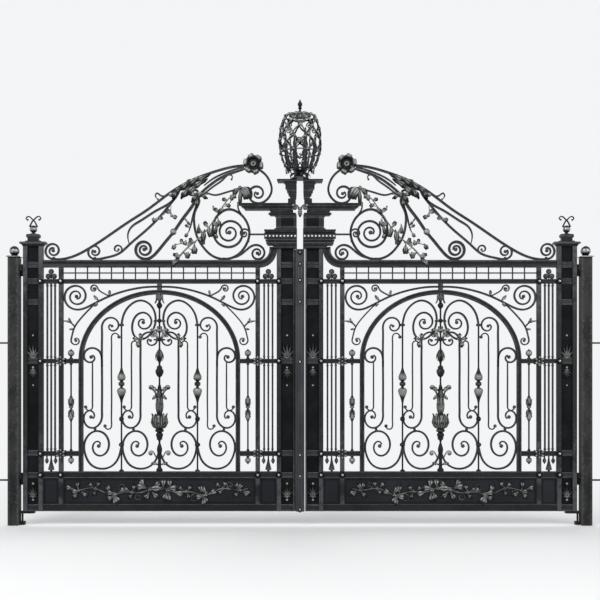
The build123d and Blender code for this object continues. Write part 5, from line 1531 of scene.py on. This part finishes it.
# The astragal, the cover bar of the meeting line.
# A wide reeded bar that a flat web holds to the left leaf, so that it laps over the right
# one; domed bolt caps sit in dark cups down its middle, and a petalled cap ends it.
astragal_half = 0.045
astragal_back = 0.007
astragal_front = -0.043
astragal_top = meeting_top - 0.008
strip_reeds = 5
strip_reed_rise = 0.0055
reeded_half = astragal_half - 0.007
cup_radius = 0.03
cap_heights = (0.162, 0.494, 0.705, 1.631, 2.228, 2.443, 2.605)
astragal = Ironwork()
reed_across = np.linspace(reeded_half, -reeded_half, 51)
reed_swell = np.abs(np.sin(math.pi * strip_reeds * (reed_across / (2 * reeded_half) + 0.5)))
strip_edge = np.array([(astragal_half - 0.002, astragal_back), (astragal_half, astragal_back - 0.002),
                       (astragal_half, astragal_front + 0.006),
                       (astragal_half - 0.004, astragal_front + 0.001)])
astragal_ring = np.vstack([strip_edge,
                           np.stack([reed_across, astragal_front - strip_reed_rise * reed_swell], 1),
                           strip_edge[::-1] * (-1, 1)])
ring_proud = np.concatenate([[0.8, 0.8, 0.9, 0.9], 0.15 + 0.75 * reed_swell, [0.9, 0.9, 0.8, 0.8]])
strip_middle = np.array([0, (astragal_front + astragal_back) / 2])
astragal.grid(np.stack([
    np.insert(strip_middle + shrink * (astragal_ring - strip_middle), 2, height, 1)
    for height, shrink in ((leaf_bottom, 0.97), (leaf_bottom + 0.002, 1), (astragal_top - 0.002, 1),
                           (astragal_top, 0.97))]), ring_proud)
block(astragal, -astragal_half * 0.8, leaf_inner, leaf_bottom, astragal_top, 0.014)
for height in cap_heights:
    faced(astragal, (0, height),
          [(0.001, 0.004), (cup_radius * 0.66, 0.004), (cup_radius * 0.74, 0.011),
           (cup_radius * 0.88, 0.013), (cup_radius, 0.008), (cup_radius, 0)],
          astragal_front + 0.001, -1, 28)
astragal.piece("reeded_astragal", "left_leaf", -1, strip_finish, ("astragal",))
bolt_caps = Ironwork()
bolt_cap = np.vstack([dome(0.02, 0.014, 9), [(0.022, 0.002), (cup_radius, 0.002), (cup_radius, 0)]])
for height in cap_heights:
    faced(bolt_caps, (0, height), bolt_cap, astragal_front - 0.004, -1, 28)
faced(bolt_caps, (0, astragal_top - 0.033), dome(0.03, 0.02, 9), astragal_front - 0.002, -1, 40, 5, 0.2)
bolt_caps.piece("astragal_bolt_caps", "left_leaf", -1, boss_finish)


# The clasp, a small double curl between the cornices with a leaf hanging from it.
# A bent bar like a lying eight, riveted to a tie from the left cornice.
clasp_height = 3174
hanging_leaf = 3.166
clasp_half = 0.007
clasp_work = Ironwork()
clasp_curls = Pattern(clasp_work, 0, 0, 0, 0.001, 0.001, True)
clasp_curls.bar([(3, clasp_height - 26), (12, clasp_height - 17), (16, clasp_height),
                 (24, clasp_height + 17), (36, clasp_height + 24)]
                + curl((44, clasp_height + 24.5), (49, clasp_height), -1.25, 8), fine_bar,
                [((49, clasp_height), 13)], (1.7, 1.3), 0.018)
block(clasp_work, 0.06, 0.08, hanging_leaf + 0.002, hanging_leaf + 0.014, 0.012)
for face in (-1, 1):
    cast_leaf(clasp_work, (0, hanging_leaf), -90, 0.09, 0.05, face * clasp_half, face, 4, 0.012,
              0.004, 0, 0.01)
for face in (-1, 1):
    faced(clasp_work, (0, hanging_leaf - 0.002), dome(0.014, 0.012), face * clasp_half, face, 16)
clasp_work.piece("double_curl_clasp", "left_leaf", -1, cast_finish, ("clasp",))


# The centre finial, an openwork egg on a foot.
# Tall acanthus leaves stand round a cup, twisted twigs with knobs and curls close the upper
# half, and a ring of knobs carries the spike; all cast iron, welded together.
finial_foot = 3.458
egg_bottom = 3.475
egg_widest = 3.83
egg_top = 4.2
egg_radius = 0.208
egg_shoulder = 4.088
twig_low = 3.72
hoop_height = 4.082
spike_top = 4.2535
tube_sides = 7


def on_egg(turn, height, lift=0.0):
    """Points on the egg: its radius follows two quarter ellipses that meet at the waist."""
    height = np.asarray(height, float)
    end = np.where(height > egg_widest, egg_top, egg_bottom)
    share = (height - egg_widest) / (end - egg_widest)
    radius = egg_radius * np.sqrt(np.maximum(1 - share * share, 0.001)) + lift
    return np.stack([radius * np.cos(turn), radius * np.sin(turn), height], -1)


def tube(work, path, radius):
    """A round bar along (across, through, up) points that go round the upright middle line.

    Ring = point + radius * (cos(turn) * outward + sin(turn) * outward x tangent)."""
    tangent = np.gradient(path, axis=0)
    tangent /= np.linalg.norm(tangent, axis=1)[:, None]
    outward = path * (1, 1, 0)
    outward = outward - tangent * (outward * tangent).sum(1)[:, None]
    outward /= np.linalg.norm(outward, axis=1)[:, None]
    turn = np.linspace(0, 2 * math.pi, tube_sides, endpoint=False)[:, None]
    ring = outward[:, None] * np.cos(turn) + np.cross(outward, tangent)[:, None] * np.sin(turn)
    size = np.broadcast_to(radius, len(path))[:, None, None]
    work.grid(path[:, None] + size * ring, 0.35 + 0.5 * np.cos(turn[:, 0]))


def knob(work, place, radius):
    """A small cast ball at an (across, through, up) place."""
    turned(work, place[0], ball(place[2], radius, radius * 0.1, radius * 0.1, 8), 10, place[1])


finial_cup = Ironwork()
block(finial_cup, 0.035, 0.085, finial_foot - 0.008, finial_foot, stile_depth)
foot_outline = [(finial_foot + rise, radius) for rise, radius in (
    (0, 0.088), (0.003, 0.09), (0.01, 0.09), (0.014, 0.078), (0.02, 0.05), (0.034, 0.034))]
cup_outline = [(3.51, 0.034), (3.53, 0.044), (3.545, 0.062), (3.56, 0.078), (3.568, 0.078),
               (3.562, 0.06), (3.552, 0.03), (3.55, 0.001)]
turned(finial_cup, 0, foot_outline + cup_outline, 36)
for leaf in range(6):
    for azimuth, tip, inset, width in ((15, 3.93, 0.006, 0.062), (45, 3.84, -0.003, 0.05)):
        heights = np.linspace(3.53, tip, 14)
        reach = on_egg(0, heights)[:, 0] - inset
        reach[-3:] += (0.002, 0.006, 0.011)
        standing_leaf(finial_cup, 0, 60 * leaf + azimuth, np.stack([heights, reach], 1), width, 5)
for leaf in range(10):
    standing_leaf(finial_cup, 0, 36 * leaf,
                  [(3.56, 0.07), (3.585, 0.1), (3.58, 0.125), (3.555, 0.14), (3.53, 0.138)], 0.055, 3)
for leaf in range(9):
    standing_leaf(finial_cup, 0, 40 * leaf + 20,
                  [(3.505, 0.034), (3.515, 0.06), (3.505, 0.085), (3.487, 0.1), (3.47, 0.098)],
                  0.05, 3)
finial_cup.piece("finial_leaf_cup", "left_leaf", -1, bar_finish, ("centre_finial",))

egg_work = Ironwork()
for rib in range(6):
    tube(egg_work, on_egg(2 * math.pi * rib / 6, np.linspace(3.56, 3.9, 24), -0.012), 0.0065)
# the twigs that cross each other, with a knob wherever one is lopped
for way in (-1, 1):
    for twig in range(9):
        share = np.linspace(0, 1, 40)
        wave = 0.05 * np.sin(13 * share + twig * 1.7)
        turn = 2 * math.pi * (twig + 0.25) / 9 + way * 1.62 * share + wave
        path = on_egg(turn, twig_low + (egg_shoulder - twig_low) * share, 0.003 * way)
        tube(egg_work, path, 0.0082 + 0.0016 * np.sin(46 * share + twig))
        for index, size in ((0, 0.014), (13, 0.0125), (25, 0.013), (34, 0.012)):
            knob(egg_work, path[index], size)
# small curls in two rows between the twigs
for number, height in enumerate((3.9, 4.03)):
    wide = on_egg(0, height)[0]
    for place in range(5):
        middle = 2 * math.pi * (place + 0.5 * number + 0.2) / 5
        way = 1 if (place + number) % 2 else -1
        swing = np.linspace(0, 1.35 * 2 * math.pi, 26)
        reach = 0.034 - 0.024 * swing / swing[-1]
        path = on_egg(middle + way * reach * np.cos(swing) / wide, height + reach * np.sin(swing), 0.004)
        tube(egg_work, path, 0.006)
        knob(egg_work, path[-1], 0.012)
for height, count, size, lift in ((hoop_height, 12, 0.0165, 0.0), (4.1, 7, 0.014, -0.045),
                                  (3.84, 12, 0.011, 0.0), (3.665, 10, 0.012, 0.004),
                                  (3.6, 9, 0.012, 0.004), (3.53, 10, 0.012, 0.03)):
    for place in range(count):
        knob(egg_work, on_egg(2 * math.pi * (place + 0.5) / count, height, lift), size)
hoop_turn = np.linspace(0, 2 * math.pi, 49)
for height, size in ((hoop_height, 0.009), (twig_low, 0.007)):
    tube(egg_work, on_egg(hoop_turn, np.full(49, height)), size)
turned(egg_work, 0, [(4.076, 0.02), (4.078, 0.08), (4.086, 0.112), (4.092, 0.112), (4.1, 0.07),
                     (4.11, 0.034), (4.118, 0.016), (4.13, 0.011), (4.156, 0.011), (4.162, 0.018),
                     (4.17, 0.02), (4.176, 0.013), (4.184, 0.015), (4.196, 0.0225),
                     (4.212, 0.0235), (4.224, 0.018), (4.232, 0.01), (4.238, 0.0085),
                     (4.243, 0.0105), (spike_top, 0.001)], 24)
egg_work.piece("finial_egg_twigs", "left_leaf", -1, cast_finish)
